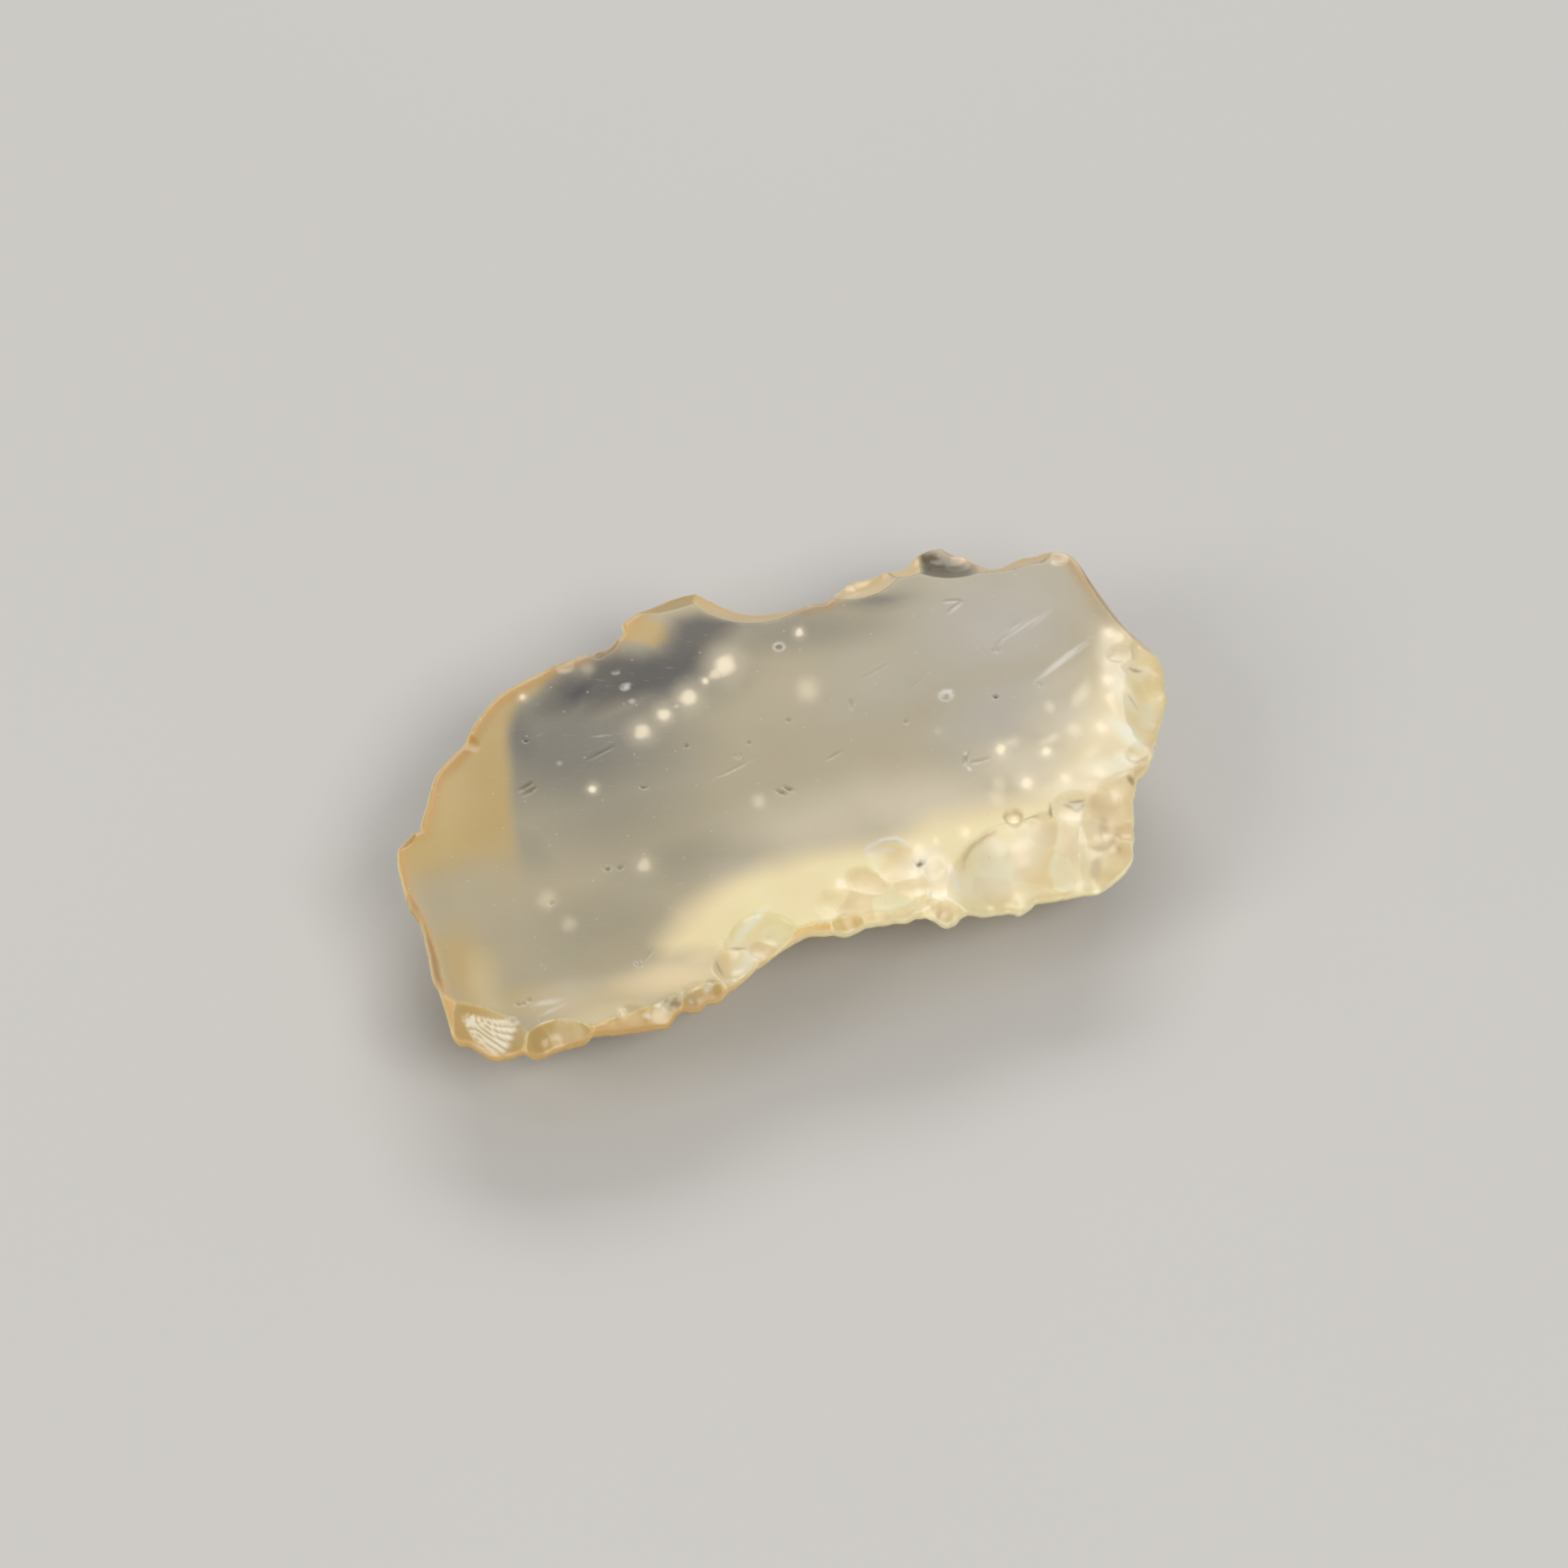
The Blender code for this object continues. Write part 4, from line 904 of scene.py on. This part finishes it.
def mark_distance(points):
    """How far each point lies from the nearest pit, groove or ridge of the fan."""
    x, y = points.T
    nearest = np.maximum(np.hypot(x - FAN_STRUCK[0], y - FAN_STRUCK[1]) - FAN_REACH, 0)
    for middle_x, middle_y, radius, _ in PITS:
        nearest = np.minimum(nearest, np.hypot(x - middle_x, y - middle_y) - radius)
    for start, end, width, _ in GROOVES:
        nearest = np.minimum(nearest, segment_gap(points, start, end)[0] - width)
    ovals = STREAKS_AND_GLINTS + DARK_MARKS_AND_SHADOWS + LONG_SPECKS
    for middle_x, middle_y, half_length, half_width, degrees, _ in ovals:
        turn = math.radians(degrees)
        way = half_length * math.cos(turn), half_length * math.sin(turn)
        start, end = (middle_x - way[0], middle_y - way[1]), (middle_x + way[0], middle_y + way[1])
        nearest = np.minimum(nearest, segment_gap(points, start, end)[0] - half_width)
    for middle_x, middle_y, radius, strength in SPECKS:
        if strength > FAINT_SPECK:
            nearest = np.minimum(nearest, np.hypot(x - middle_x, y - middle_y) - radius)
    return nearest


def spread_points(rim, fine, wide, distance):
    """Rows of points round the edge, and points within: close where the surface is busy, wide elsewhere."""
    rows = []
    for depth in EDGE_ROWS:
        row = rim.points + rim.inward * depth
        rows.append(row[rim.depth(row)[0] > ROW_SHARE * depth])
    low, high = rim.points.min(axis=0), rim.points.max(axis=0)
    kept = rows
    for step in (fine, wide):
        points = lattice(low, high, step)
        points = points[rim.depth(points)[0] > EDGE_ROWS[-1] + ROW_GAP * fine]
        busy = distance(points) < FINE_REACH
        kept.append(points[busy] if step == fine else points[~busy])
    return thinned(np.vstack(kept), LEAST_GAP * fine, len(rows[0]))


def thinned(points, gap, kept_first):
    """The points without those that lie closer than the gap to one before them. The first few all stay."""
    tree = KDTree(len(points))
    for number, (x, y) in enumerate(points):
        tree.insert((x, y, 0), number)
    tree.balance()
    dropped = np.zeros(len(points), bool)
    for number, (x, y) in enumerate(points):
        if dropped[number]:
            continue
        for _, other, _ in tree.find_range((x, y, 0), gap):
            if other > number and other >= kept_first:
                dropped[other] = True
    return points[~dropped]


def skin(edge, points):
    """Triangles over the edge and the points within it, as places and faces. The edge's points come first."""
    given = len(edge) + len(points)
    places = [Vector(place) for place in np.vstack([edge, points])]
    loop = list(range(len(edge)))
    places, _, faces, origin, _, _ = delaunay_2d_cdt(places, [], [loop], INSIDE_ONLY, CLOSE)
    order = sorted(range(len(places)), key=lambda i: min(origin[i], default=given))
    number = {old: new for new, old in enumerate(order)}
    flat = np.array([places[i] for i in order])
    return flat, [[number[i] for i in face] for face in faces]


def way_out(places, faces):
    """The way out of the surface at each point, one long."""
    faces = np.array(faces)
    corner, first, second = (places[faces[:, i]] for i in range(3))
    across = np.cross(first - corner, second - corner)
    out = np.zeros_like(places)
    for i in range(3):
        np.add.at(out, faces[:, i], across)
    return out / np.maximum(np.linalg.norm(out, axis=1), LEAST_LENGTH)[:, None]


def steadied(ways, faces, rounds):
    """The ways at the mesh's points, turned towards their neighbours', to change slowly over ridges."""
    faces = np.array(faces)
    starts = faces.ravel()
    ends = np.roll(faces, -1, axis=1).ravel()
    for _ in range(rounds):
        around = ways.copy()
        for axis in range(3):
            around[:, axis] += np.bincount(starts, ways[ends, axis], len(ways))
        ways = around / np.maximum(np.linalg.norm(around, axis=1), LEAST_LENGTH)[:, None]
    return ways


def outline_gap(points, outline):
    """How far within a closed outline each point lies, less than nothing outside it."""
    start = np.array(outline)
    end = np.roll(start, -1, axis=0)
    x, y = points[:, :1], points[:, 1:]
    gap = np.min([segment_gap(points, a, b)[0] for a, b in zip(start, end)], axis=0)
    spans = (start[:, 1] > y) != (end[:, 1] > y)
    rise = np.where(end[:, 1] == start[:, 1], 1, end[:, 1] - start[:, 1])
    crossed = x < start[:, 0] + (end[:, 0] - start[:, 0]) * (y - start[:, 1]) / rise
    within = (crossed & spans).sum(axis=1) % 2 == 1
    return np.where(within, gap, -gap)


def patch(points, outline, softness):
    return smooth_step(outline_gap(points, outline), -softness, softness)


def haze(points, wisps, softness=1.0):
    """The strongest of some soft ovals over each point, from nothing to one."""
    strongest = np.zeros(len(points))
    for middle_x, middle_y, half_length, half_width, degrees, strength in wisps:
        turn = math.radians(degrees)
        x, y = points[:, 0] - middle_x, points[:, 1] - middle_y
        along = (x * math.cos(turn) + y * math.sin(turn)) / half_length
        across = (y * math.cos(turn) - x * math.sin(turn)) / half_width
        reach = np.hypot(along, across)
        oval = 1 - smooth_step(reach, 1 - softness, 1 + 0.5 * softness)
        strongest = np.maximum(strongest, strength * oval)
    return strongest


def rings(plan, circles, strength, width):
    """Thin rings on some circles of the face, of a strength there and nothing a little way off."""
    brightest = np.zeros(len(plan))
    for middle_x, middle_y, radius in circles:
        off = np.hypot(plan[:, 0] - middle_x, plan[:, 1] - middle_y) - radius
        plain = min(radius / PLAIN_RING, 1) ** 2
        brightest = np.maximum(brightest, plain * np.exp(-((off / width) ** 2)))
    return strength * brightest


def fan_light(plan):
    """Painted highlights on the crests of the fan's ridges."""
    within, crest = fan_ridges(plan)
    return within * (LEAST_FAN_LIGHT + (1 - LEAST_FAN_LIGHT) * smooth_step(crest, *FAN_CREST))


def crest_light(points):
    """The sharp ridges of the face, for their painted highlight and shade: one on the crest and nothing a
    little way off, brighter in some places.
    """
    here = face_height(points)[1]
    east = face_height(points + [NUDGE, 0])[1]
    north = face_height(points + [0, NUDGE])[1]
    slope = np.hypot(east - here, north - here) / NUDGE
    off = here / np.maximum(slope, LEAST_STEEPNESS)
    size, low, high = CREST_PATCHES
    patchy = LEAST_CREST + (1 - LEAST_CREST) * smooth_step(waves(points, size, seed=14), low, high)
    return (1 - smooth_step(off, *CREST_WIDTH)) * smooth_step(slope, *CREST_STEEPNESS) * patchy


def speck_light(plan):
    """The cream specks: the bright ones with a clear edge and a faint halo, the faint ones all soft."""
    ovals = LONG_SPECKS + [
        (x, y, SPECK_STRETCH * radius, radius, SPECK_TURN, strength) for x, y, radius, strength in SPECKS
    ]
    bright = [oval for oval in ovals if oval[-1] > FAINT_SPECK]
    faint = [oval for oval in ovals if oval[-1] <= FAINT_SPECK]
    halos = [
        (x, y, HALO_SIZE * half_length, HALO_SIZE * half_width, turn, HALO_STRENGTH * strength)
        for x, y, half_length, half_width, turn, strength in bright
    ]
    return np.maximum.reduce([haze(plan, bright, softness=0.65), haze(plan, halos), haze(plan, faint)])


def line_strength(plan, lines):
    """How strongly some thin lines show, full in their middle and nothing at their ends."""
    brightest = np.zeros(len(plan))
    for points, width, strength in lines:
        for number, (start, end) in enumerate(zip(points, points[1:])):
            gap, share = segment_gap(plan, start, end)
            along = (number + share) / (len(points) - 1)
            light = strength * np.exp(-((gap / width) ** 2))
            light = light * smooth_step(np.sin(math.pi * along), 0, LINE_FADE)
            brightest = np.maximum(brightest, light)
    return brightest


def rim_parts(plan, depth, facing, leftness, on_top):
    """How much the rim's painted highlight, the painted orange glow within it and the amber glass show at
    every point.
    """
    width = RIM_WIDTH + FRONT_RIM_WIDTH * np.maximum(facing, 0)
    rim = 1 - smooth_step(depth / width, *RIM_FADE)
    size, patchiness = GLOW_PATCHES
    glow = 1 - smooth_step(depth / (GLOW_WIDTH - FRONT_GLOW_LOSS * facing), *GLOW_FADE)
    glow *= 1 - patchiness + patchiness * waves(plan, size, seed=17)
    glow *= (PLAIN_GLOW + LEFT_GLOW_GAIN * np.maximum(leftness, 0)) * raised(on_top)
    glow *= 1 - DARK_GLOW_LOSS * facet_share(plan, DARK_FACETS, DARK_SOFT)
    at_front_left = smooth_step(-plan[:, 0], *AMBER_STARTS) * smooth_step(facing, *AMBER_FACING)
    on_wall = smooth_step(AMBER_REACH - depth, 0, AMBER_FADE) * (on_top < 1)
    amber = at_front_left * np.maximum(rim, on_wall)
    return {"rim": rim, "rim glow": glow, "amber": amber}


def face_parts(plan):
    """How much each kind of glass, and each painted shade, light, sheen, glow, highlight and dark reflection,
    would show at every point if all of them lay on the face.
    """
    wander = drift(plan, *WANDER, seed=11)
    wobble = drift(plan, *WOBBLE, seed=15)
    seen, sharp, fine = plan + wander, plan + wobble, plan + FINE_SHARE * wobble
    dark_middles = [ring[:2] for ring in DARK_RINGS]
    light_rings = [pit[:3] for pit in PITS if pit[:2] not in dark_middles]
    crest = crest_light(plan)
    tone = dent_tone(plan)
    at_back = smooth_step(plan[:, 1], *BACK_STARTS)
    at_left = smooth_step(-plan[:, 0], *LEFT_STARTS)
    how_far_back = seen[:, 1] + BAND_LEAN * (plan[:, 0] - BAND_MIDDLE)
    band = patch(plan + 0.5 * wander, LEFT_BAND, softness=0.3) * smooth_step(how_far_back, *BAND_END)
    band = np.maximum(band, haze(seen, LOW_WARMTH, softness=0.9)) * (1 - haze(seen, [SADDLE_GREY]))
    return {
        # painted shade
        "painted shade": haze(seen, PAINTED_SHADE_HAZE, softness=0.9),
        # painted sheen
        "painted sheen": haze(seen, PAINTED_SHEEN_HAZE),
        # pale: painted light
        "pale": haze(seen, PAINTED_LIGHT_HAZE, softness=0.9),
        "warm": np.maximum.reduce([
            band,
            patch(sharp, HUMP_PATCH, softness=0.18),
            HUMP_TOP_STRENGTH * patch(plan, HUMP_TOP, softness=0.35),
        ]),
        # glow: painted light
        "glow": np.maximum.reduce([
            patch(seen, FRONT_GLOW, softness=0.8),
            RIGHT_GLOW_STRENGTH * patch(seen, RIGHT_GLOW, softness=0.9),
            haze(seen, LOW_GLOW),
        ]),
        # painted dark reflection
        "painted dark reflection": np.maximum(
            DARK_REFLECTION_BANK_STRENGTH * patch(seen, DARK_REFLECTION_BANK, softness=0.55), haze(seen + wander, DARK_REFLECTION_WISPS)
        ),
        "milk": haze(seen, MILK_HAZE, softness=0.9),
        "ochre": np.maximum.reduce([
            band * haze(seen, OCHRE_SEAM),
            haze(seen, CORNER_SHADE),
            facet_share(plan, OCHRE_FACETS),
            -DARK_TONE * tone,
        ]),
        "olive": facet_share(plan, OLIVE_FACETS),
        "facet cream": facet_share(plan, CREAM_FACETS),
        # white glass, with the fan's painted highlights
        "white": np.maximum.reduce([
            haze(sharp, WHITE_HAZE, softness=0.7), fan_light(plan), PALE_TONE * tone,
        ]),
        "dark": np.maximum.reduce([
            haze(fine, DARK_MARKS_AND_SHADOWS, softness=0.6),
            facet_share(plan, DARK_FACETS, DARK_SOFT),
            rings(plan, DARK_RINGS, *DARK_RING),
            # painted shade on the ridges' crests at the back
            BACK_CREST_SHADE_STRENGTH * crest * at_back,
            line_strength(fine, DARK_LINES),
        ]),
        # pale streaks, with painted highlights at the pits and on bright lines
        "streak and glint": np.maximum.reduce([
            haze(fine, STREAKS_AND_GLINTS, softness=0.7),
            rings(plan, light_rings, *LIGHT_RING),
            np.minimum(line_strength(fine, LIGHT_LINES), 1),
        ]),
        "speck": speck_light(sharp),
        # painted highlight on the ridges' crests
        "crest": (CREST_HIGHLIGHT_STRENGTH - LEFT_CREST_LOSS * at_left) * crest * (1 - at_back),
    }


def colour_parts(plan, depth, facing, leftness, on_top):
    """How much each kind of glass, painted light and painted shade shows at every point of the mesh, from
    nothing to one.
    """
    parts = {name: share * on_top for name, share in face_parts(plan).items()}
    parts |= rim_parts(plan, depth, facing, leftness, on_top)
    parts["wall"] = 1 - on_top
    parts["face"] = on_top == 1
    return parts


def flake_surface(rim):
    """Both skins as one closed mesh: its places and faces, and one for the face, half for the edge."""
    def below(points):
        return under_height(points, rim)

    def face_busy(points):
        return np.minimum(ridge_distance(points, face_height), mark_distance(points))

    def under_busy(points):
        near_wall = rim.depth(points)[0] - WALL_BAND
        return np.minimum(ridge_distance(points, below), near_wall)

    count = len(rim.points)
    top_flat, top_faces = skin(rim.points, spread_points(rim, FACE_FINE, FACE_OPEN, face_busy))
    low_flat, low_faces = skin(rim.points, spread_points(rim, UNDER_FINE, UNDER_OPEN, under_busy))
    top_flat, low_flat = top_flat[count:], low_flat[count:]
    top_depth = rim.depth(top_flat)[0]
    rounded = EDGE_DROP * (1 - quarter_round(top_depth / EDGE_ROUND))
    places = np.vstack([
        np.column_stack([rim.points, rim.top]),
        np.column_stack([top_flat, carved(top_flat, face_height(top_flat)[0], top_depth) - rounded]),
        np.column_stack([low_flat, below(low_flat)[0]]),
    ])
    shift = len(top_flat)
    faces = top_faces + [[i if i < count else i + shift for i in face[::-1]] for face in low_faces]
    on_top = np.concatenate([np.full(count, 0.5), np.ones(len(top_flat)), np.zeros(len(low_flat))])
    return places, faces, on_top


def unevenness(places, depth, on_top):
    """How far in each point is pushed: slightly on the face, more in its bowls, most on the breaks below."""
    plan, height = places[:, :2], places[:, 2]
    face = on_top == 1
    off_edge = smooth_step(depth, 0, UNEVEN_FROM)
    in_bowl = face_plane(plan[:, 0]) - height > BOWL_START
    on_break = REST_SHARE + (1 - REST_SHARE) * smooth_step(height, *BREAK_RISE)
    rough = np.where(face, np.where(in_bowl, BOWL_SHARE, 0), on_break) * off_edge
    on_wall = smooth_step(height, *WALL_RISE) * smooth_step(depth, *WALL_STARTS) * (on_top == 0)
    push = np.zeros(len(places))
    for size, reach in BREAK_WAVES:
        push += rough * reach * raised(waves(places, size, seed=21))
    for size, reach in WALL_DENTS:
        push += on_wall * reach * cells(places, size, seed=5)
    for size, reach in FACE_WAVES:
        push += face * off_edge * reach * raised(waves(plan, size, seed=22))
    return push


def make_flake():
    """The whole flake as one closed mesh, in metres, in its place, with its colour parts."""
    rim = Rim(edge_curve(EDGE_POINTS, EDGE_STEP))
    places, faces, on_top = flake_surface(rim)
    plan = places[:, :2].copy()
    depth, nearest = rim.depth(plan)
    depth[:len(rim.points)] = 0
    facing = -rim.inward[nearest] @ FRONT_WAY
    leftness = rim.inward[nearest][:, 0]
    rim_gap = np.where(on_top > 0, depth, np.hypot(depth, rim.top[nearest] - places[:, 2]))

    push = unevenness(places, depth, on_top)
    places -= steadied(way_out(places, faces), faces, STEADY_ROUNDS) * push[:, None]
    places[:, 2] = np.maximum(places[:, 2], 0)
    places[:, :2] -= box_middle()

    mesh = bpy.data.meshes.new("desert glass flake")
    mesh.from_pydata((places * MM).tolist(), [], faces)
    mesh.shade_smooth()
    for name, values in colour_parts(plan, rim_gap, facing, leftness, on_top).items():
        attribute = mesh.attributes.new(name, "FLOAT", "POINT")
        attribute.data.foreach_set("value", values.astype(np.float32))
    mesh.materials.append(glass_material())
    flake = bpy.data.objects.new("desert_glass_flake", mesh)
    bpy.context.scene.collection.objects.link(flake)
    return flake


def box_middle():
    """The middle of the solid's box in the drawing: the plain edge curve's, before any bites."""
    edge = edge_curve(EDGE_POINTS, BOX_STEP)
    return (edge.min(axis=0) + edge.max(axis=0)) / 2


def linear(colour):
    """A colour given as it looks, out of 255, as the shader wants it."""
    shares = [value / 255 for value in colour]
    return (*[s / 12.92 if s <= 0.04045 else ((s + 0.055) / 1.055) ** 2.4 for s in shares], 1)


class Nodes:
    """Short calls for building a material's node tree."""

    def __init__(self, material):
        material.use_nodes = True
        self.tree = material.node_tree
        self.shader = self.tree.nodes["Principled BSDF"]
        self.output = self.tree.nodes["Material Output"]

    def new(self, kind, **settings):
        node = self.tree.nodes.new(kind)
        for name, value in settings.items():
            setattr(node, name, value)
        return node

    def link(self, start, end):
        self.tree.links.new(start, end)

    def attribute(self, name):
        return self.new("ShaderNodeAttribute", attribute_name=name).outputs["Fac"]

    def cloud(self, size_mm, detail):
        """Noise over the glass's own place, in clouds of a size."""
        node = self.new("ShaderNodeTexNoise")
        node.inputs["Scale"].default_value = 1 / (size_mm * MM)
        node.inputs["Detail"].default_value = detail
        node.inputs["Roughness"].default_value = CLOUD_ROUGHNESS
        self.link(self.place, node.inputs["Vector"])
        return node.outputs["Fac"]

    def streaks(self, length_mm, width_mm, degrees):
        """Noise in short streaks along one way over the face, of a length and a width."""
        node = self.new("ShaderNodeTexNoise")
        node.inputs["Scale"].default_value = 1
        node.inputs["Detail"].default_value = 2
        mapping = self.new("ShaderNodeMapping", vector_type="TEXTURE")
        mapping.inputs["Rotation"].default_value = (0, 0, math.radians(degrees))
        mapping.inputs["Scale"].default_value = (length_mm * MM, width_mm * MM, length_mm * MM)
        self.link(self.place, mapping.inputs["Vector"])
        self.link(mapping.outputs["Vector"], node.inputs["Vector"])
        return node.outputs["Fac"]

    def dots(self, gap_mm):
        """Distance in the plan to the nearest of some scattered points, in shares of the gap between them."""
        node = self.new("ShaderNodeTexVoronoi", voronoi_dimensions="2D")
        node.inputs["Scale"].default_value = 1 / (gap_mm * MM)
        self.link(self.place, node.inputs["Vector"])
        return node.outputs["Distance"]

    @property
    def place(self):
        if not hasattr(self, "_place"):
            self._place = self.new("ShaderNodeTexCoord").outputs["Object"]
        return self._place

    def ranged(self, value, from_low, from_high, to_low, to_high):
        node = self.new("ShaderNodeMapRange")
        node.inputs["From Min"].default_value = from_low
        node.inputs["From Max"].default_value = from_high
        node.inputs["To Min"].default_value = to_low
        node.inputs["To Max"].default_value = to_high
        self.link(value, node.inputs["Value"])
        return node.outputs["Result"]

    def times(self, first, second):
        node = self.new("ShaderNodeMath", operation="MULTIPLY")
        for value, socket in zip((first, second), node.inputs):
            if isinstance(value, (int, float)):
                socket.default_value = value
            else:
                self.link(value, socket)
        return node.outputs["Value"]

    def mix(self, share, start, end):
        """A colour part of the way from one to another. Each may be a plain colour or a node's."""
        node = self.new("ShaderNodeMix", data_type="RGBA")
        self.link(share, node.inputs["Factor"])
        for value, name in ((start, "A"), (end, "B")):
            socket = next(s for s in node.inputs if s.name == name and s.type == "RGBA")
            if isinstance(value, tuple):
                socket.default_value = value
            else:
                self.link(value, socket)
        return next(s for s in node.outputs if s.type == "RGBA")


def glass_material():
    """Milky glass: its colour parts, painted light and shade among them, one over another, a little grain,
    and clear enough to glow where thin.
    """
    material = bpy.data.materials.new("milky desert glass")
    nodes = Nodes(material)
    shader = nodes.shader

    warmth = nodes.ranged(nodes.cloud(FACE_CLOUD, detail=2), *WARMTH_RANGE, 0, 1)
    colour = nodes.mix(warmth, linear(GREY_GLASS), linear(WARM_GREY_GLASS))
    creaminess = nodes.ranged(nodes.cloud(WALL_CLOUD, detail=3), *CREAM_RANGE, 0, 1)
    wall = nodes.mix(creaminess, linear(WALL_GLASS), linear(WALL_CREAM))
    colour = nodes.mix(nodes.attribute("wall"), colour, wall)
    for name, over, strength in LAYERS:
        share = nodes.times(nodes.attribute(name), strength)
        if name in CLOUDED:
            cloud = nodes.cloud(CLOUD_SIZE, detail=2)
            share = nodes.times(share, nodes.ranged(cloud, *CLOUD_RANGE, LEAST_CLOUDED, 1))
        colour = nodes.mix(share, colour, linear(over))
    streaks = nodes.streaks(DUST_LENGTH, DUST_WIDTH, DUST_TURN)
    dust = nodes.ranged(streaks, *DUST_RANGE, 0, DUST_STRENGTH)
    colour = nodes.mix(dust, colour, linear(DUST_COLOUR))
    dots = nodes.ranged(nodes.dots(DOT_GAP), *DOT_SIZE, DOT_STRENGTH, 0)
    colour = nodes.mix(nodes.times(dots, nodes.attribute("face")), colour, linear(DUST_COLOUR))
    nodes.link(colour, shader.inputs["Base Color"])

    roughness = nodes.ranged(nodes.attribute("wall"), 0, 1, FACE_ROUGHNESS, WALL_ROUGHNESS)
    nodes.link(roughness, shader.inputs["Roughness"])
    clear = nodes.ranged(nodes.attribute("speck"), 0, 1, CLEARNESS, 0)
    nodes.link(clear, shader.inputs["Transmission Weight"])
    shader.inputs["IOR"].default_value = GLASS_IOR
    shader.inputs["Subsurface Weight"].default_value = GLOW_SHARE
    shader.inputs["Subsurface Radius"].default_value = GLOW_COLOUR_REACH
    shader.inputs["Subsurface Scale"].default_value = GLOW_REACH * MM

    bump = nodes.new("ShaderNodeBump")
    bump.inputs["Strength"].default_value = GRAIN_STRENGTH
    bump.inputs["Distance"].default_value = GRAIN_HEIGHT * MM
    grain = nodes.times(nodes.cloud(GRAIN_SIZE, detail=3), nodes.attribute("wall"))
    nodes.link(grain, bump.inputs["Height"])
    nodes.link(bump.outputs["Normal"], shader.inputs["Normal"])

    depth = nodes.new("ShaderNodeVolumeAbsorption")
    depth.inputs["Color"].default_value = DEPTH_COLOUR
    depth.inputs["Density"].default_value = DEPTH_DENSITY
    nodes.link(depth.outputs["Volume"], nodes.output.inputs["Volume"])
    return material


def make_floor():
    mesh = bpy.data.meshes.new("floor")
    half = FLOOR_SIDE / 2
    corners = [(-half, -half, 0), (half, -half, 0), (half, half, 0), (-half, half, 0)]
    mesh.from_pydata(corners, [], [(0, 1, 2, 3)])
    material = bpy.data.materials.new("pale matte floor")
    nodes = Nodes(material)
    nodes.shader.inputs["Roughness"].default_value = FLOOR_ROUGHNESS
    colour = nodes.mix(nodes.cloud(FLOOR_CLOUD, detail=3), *FLOOR_COLOURS)
    nodes.link(colour, nodes.shader.inputs["Base Color"])
    mesh.materials.append(material)
    floor = bpy.data.objects.new("floor", mesh)
    bpy.context.scene.collection.objects.link(floor)


def aimed(place, target):
    """A turn that points a camera or a light from its place at a target."""
    return (Vector(target) - Vector(place)).to_track_quat("-Z", "Y")


def softbox(name, place, size, power, colour):
    light = bpy.data.lights.new(name, "AREA")
    light.shape = "RECTANGLE"
    light.size, light.size_y = size
    light.energy = power
    light.color = colour
    lamp = bpy.data.objects.new(name, light)
    lamp.location = place
    lamp.rotation_mode = "QUATERNION"
    lamp.rotation_quaternion = aimed(place, (0, 0, 0))
    bpy.context.scene.collection.objects.link(lamp)


def light_scene():
    world = bpy.data.worlds.new("pale room")
    world.use_nodes = True
    world.node_tree.nodes["Background"].inputs["Color"].default_value = ROOM_COLOUR
    world.node_tree.nodes["Background"].inputs["Strength"].default_value = ROOM_STRENGTH
    bpy.context.scene.world = world
    for name, place, size, power, colour in SOFTBOXES:
        softbox(name, place, size, power, colour)
    bpy.context.scene.view_settings.view_transform = "Standard"


def place_camera():
    """The photograph's camera: in front of the flake and above it, a long way off for its size."""
    right = np.array([math.cos(CAMERA_TURN), -math.sin(CAMERA_TURN), 0])
    away = np.array([math.sin(CAMERA_TURN), math.cos(CAMERA_TURN), 0])
    look = away * math.cos(CAMERA_ELEVATION) - np.array([0, 0, math.sin(CAMERA_ELEVATION)])
    off_x, off_y = ((pixel - PHOTO_SIDE / 2) * PICTURE_SCALE for pixel in MIDDLE_PIXEL)
    target = np.array([0, 0, FACE_HEIGHT]) - right * off_x + away * off_y / math.sin(CAMERA_ELEVATION)
    target[:2] -= box_middle()
    place = target - look * CAMERA_DISTANCE
    camera = bpy.data.cameras.new("camera")
    camera.sensor_width = SENSOR
    camera.lens = SENSOR * CAMERA_DISTANCE / (PHOTO_SIDE * PICTURE_SCALE)
    camera.clip_start = NEAREST_SEEN * MM
    holder = bpy.data.objects.new("camera", camera)
    holder.location = place * MM
    holder.rotation_mode = "QUATERNION"
    holder.rotation_quaternion = aimed(place, target)
    bpy.context.scene.collection.objects.link(holder)
    bpy.context.scene.camera = holder


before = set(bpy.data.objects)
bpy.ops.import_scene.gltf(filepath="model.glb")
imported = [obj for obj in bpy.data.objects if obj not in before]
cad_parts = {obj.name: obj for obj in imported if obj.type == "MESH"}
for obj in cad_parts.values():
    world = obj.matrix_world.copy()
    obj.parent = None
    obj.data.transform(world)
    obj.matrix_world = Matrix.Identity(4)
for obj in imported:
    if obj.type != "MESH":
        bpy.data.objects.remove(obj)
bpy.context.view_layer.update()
place_camera()
light_scene()
make_floor()
flake = make_flake()
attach(flake, "root")
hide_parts("desert_glass")
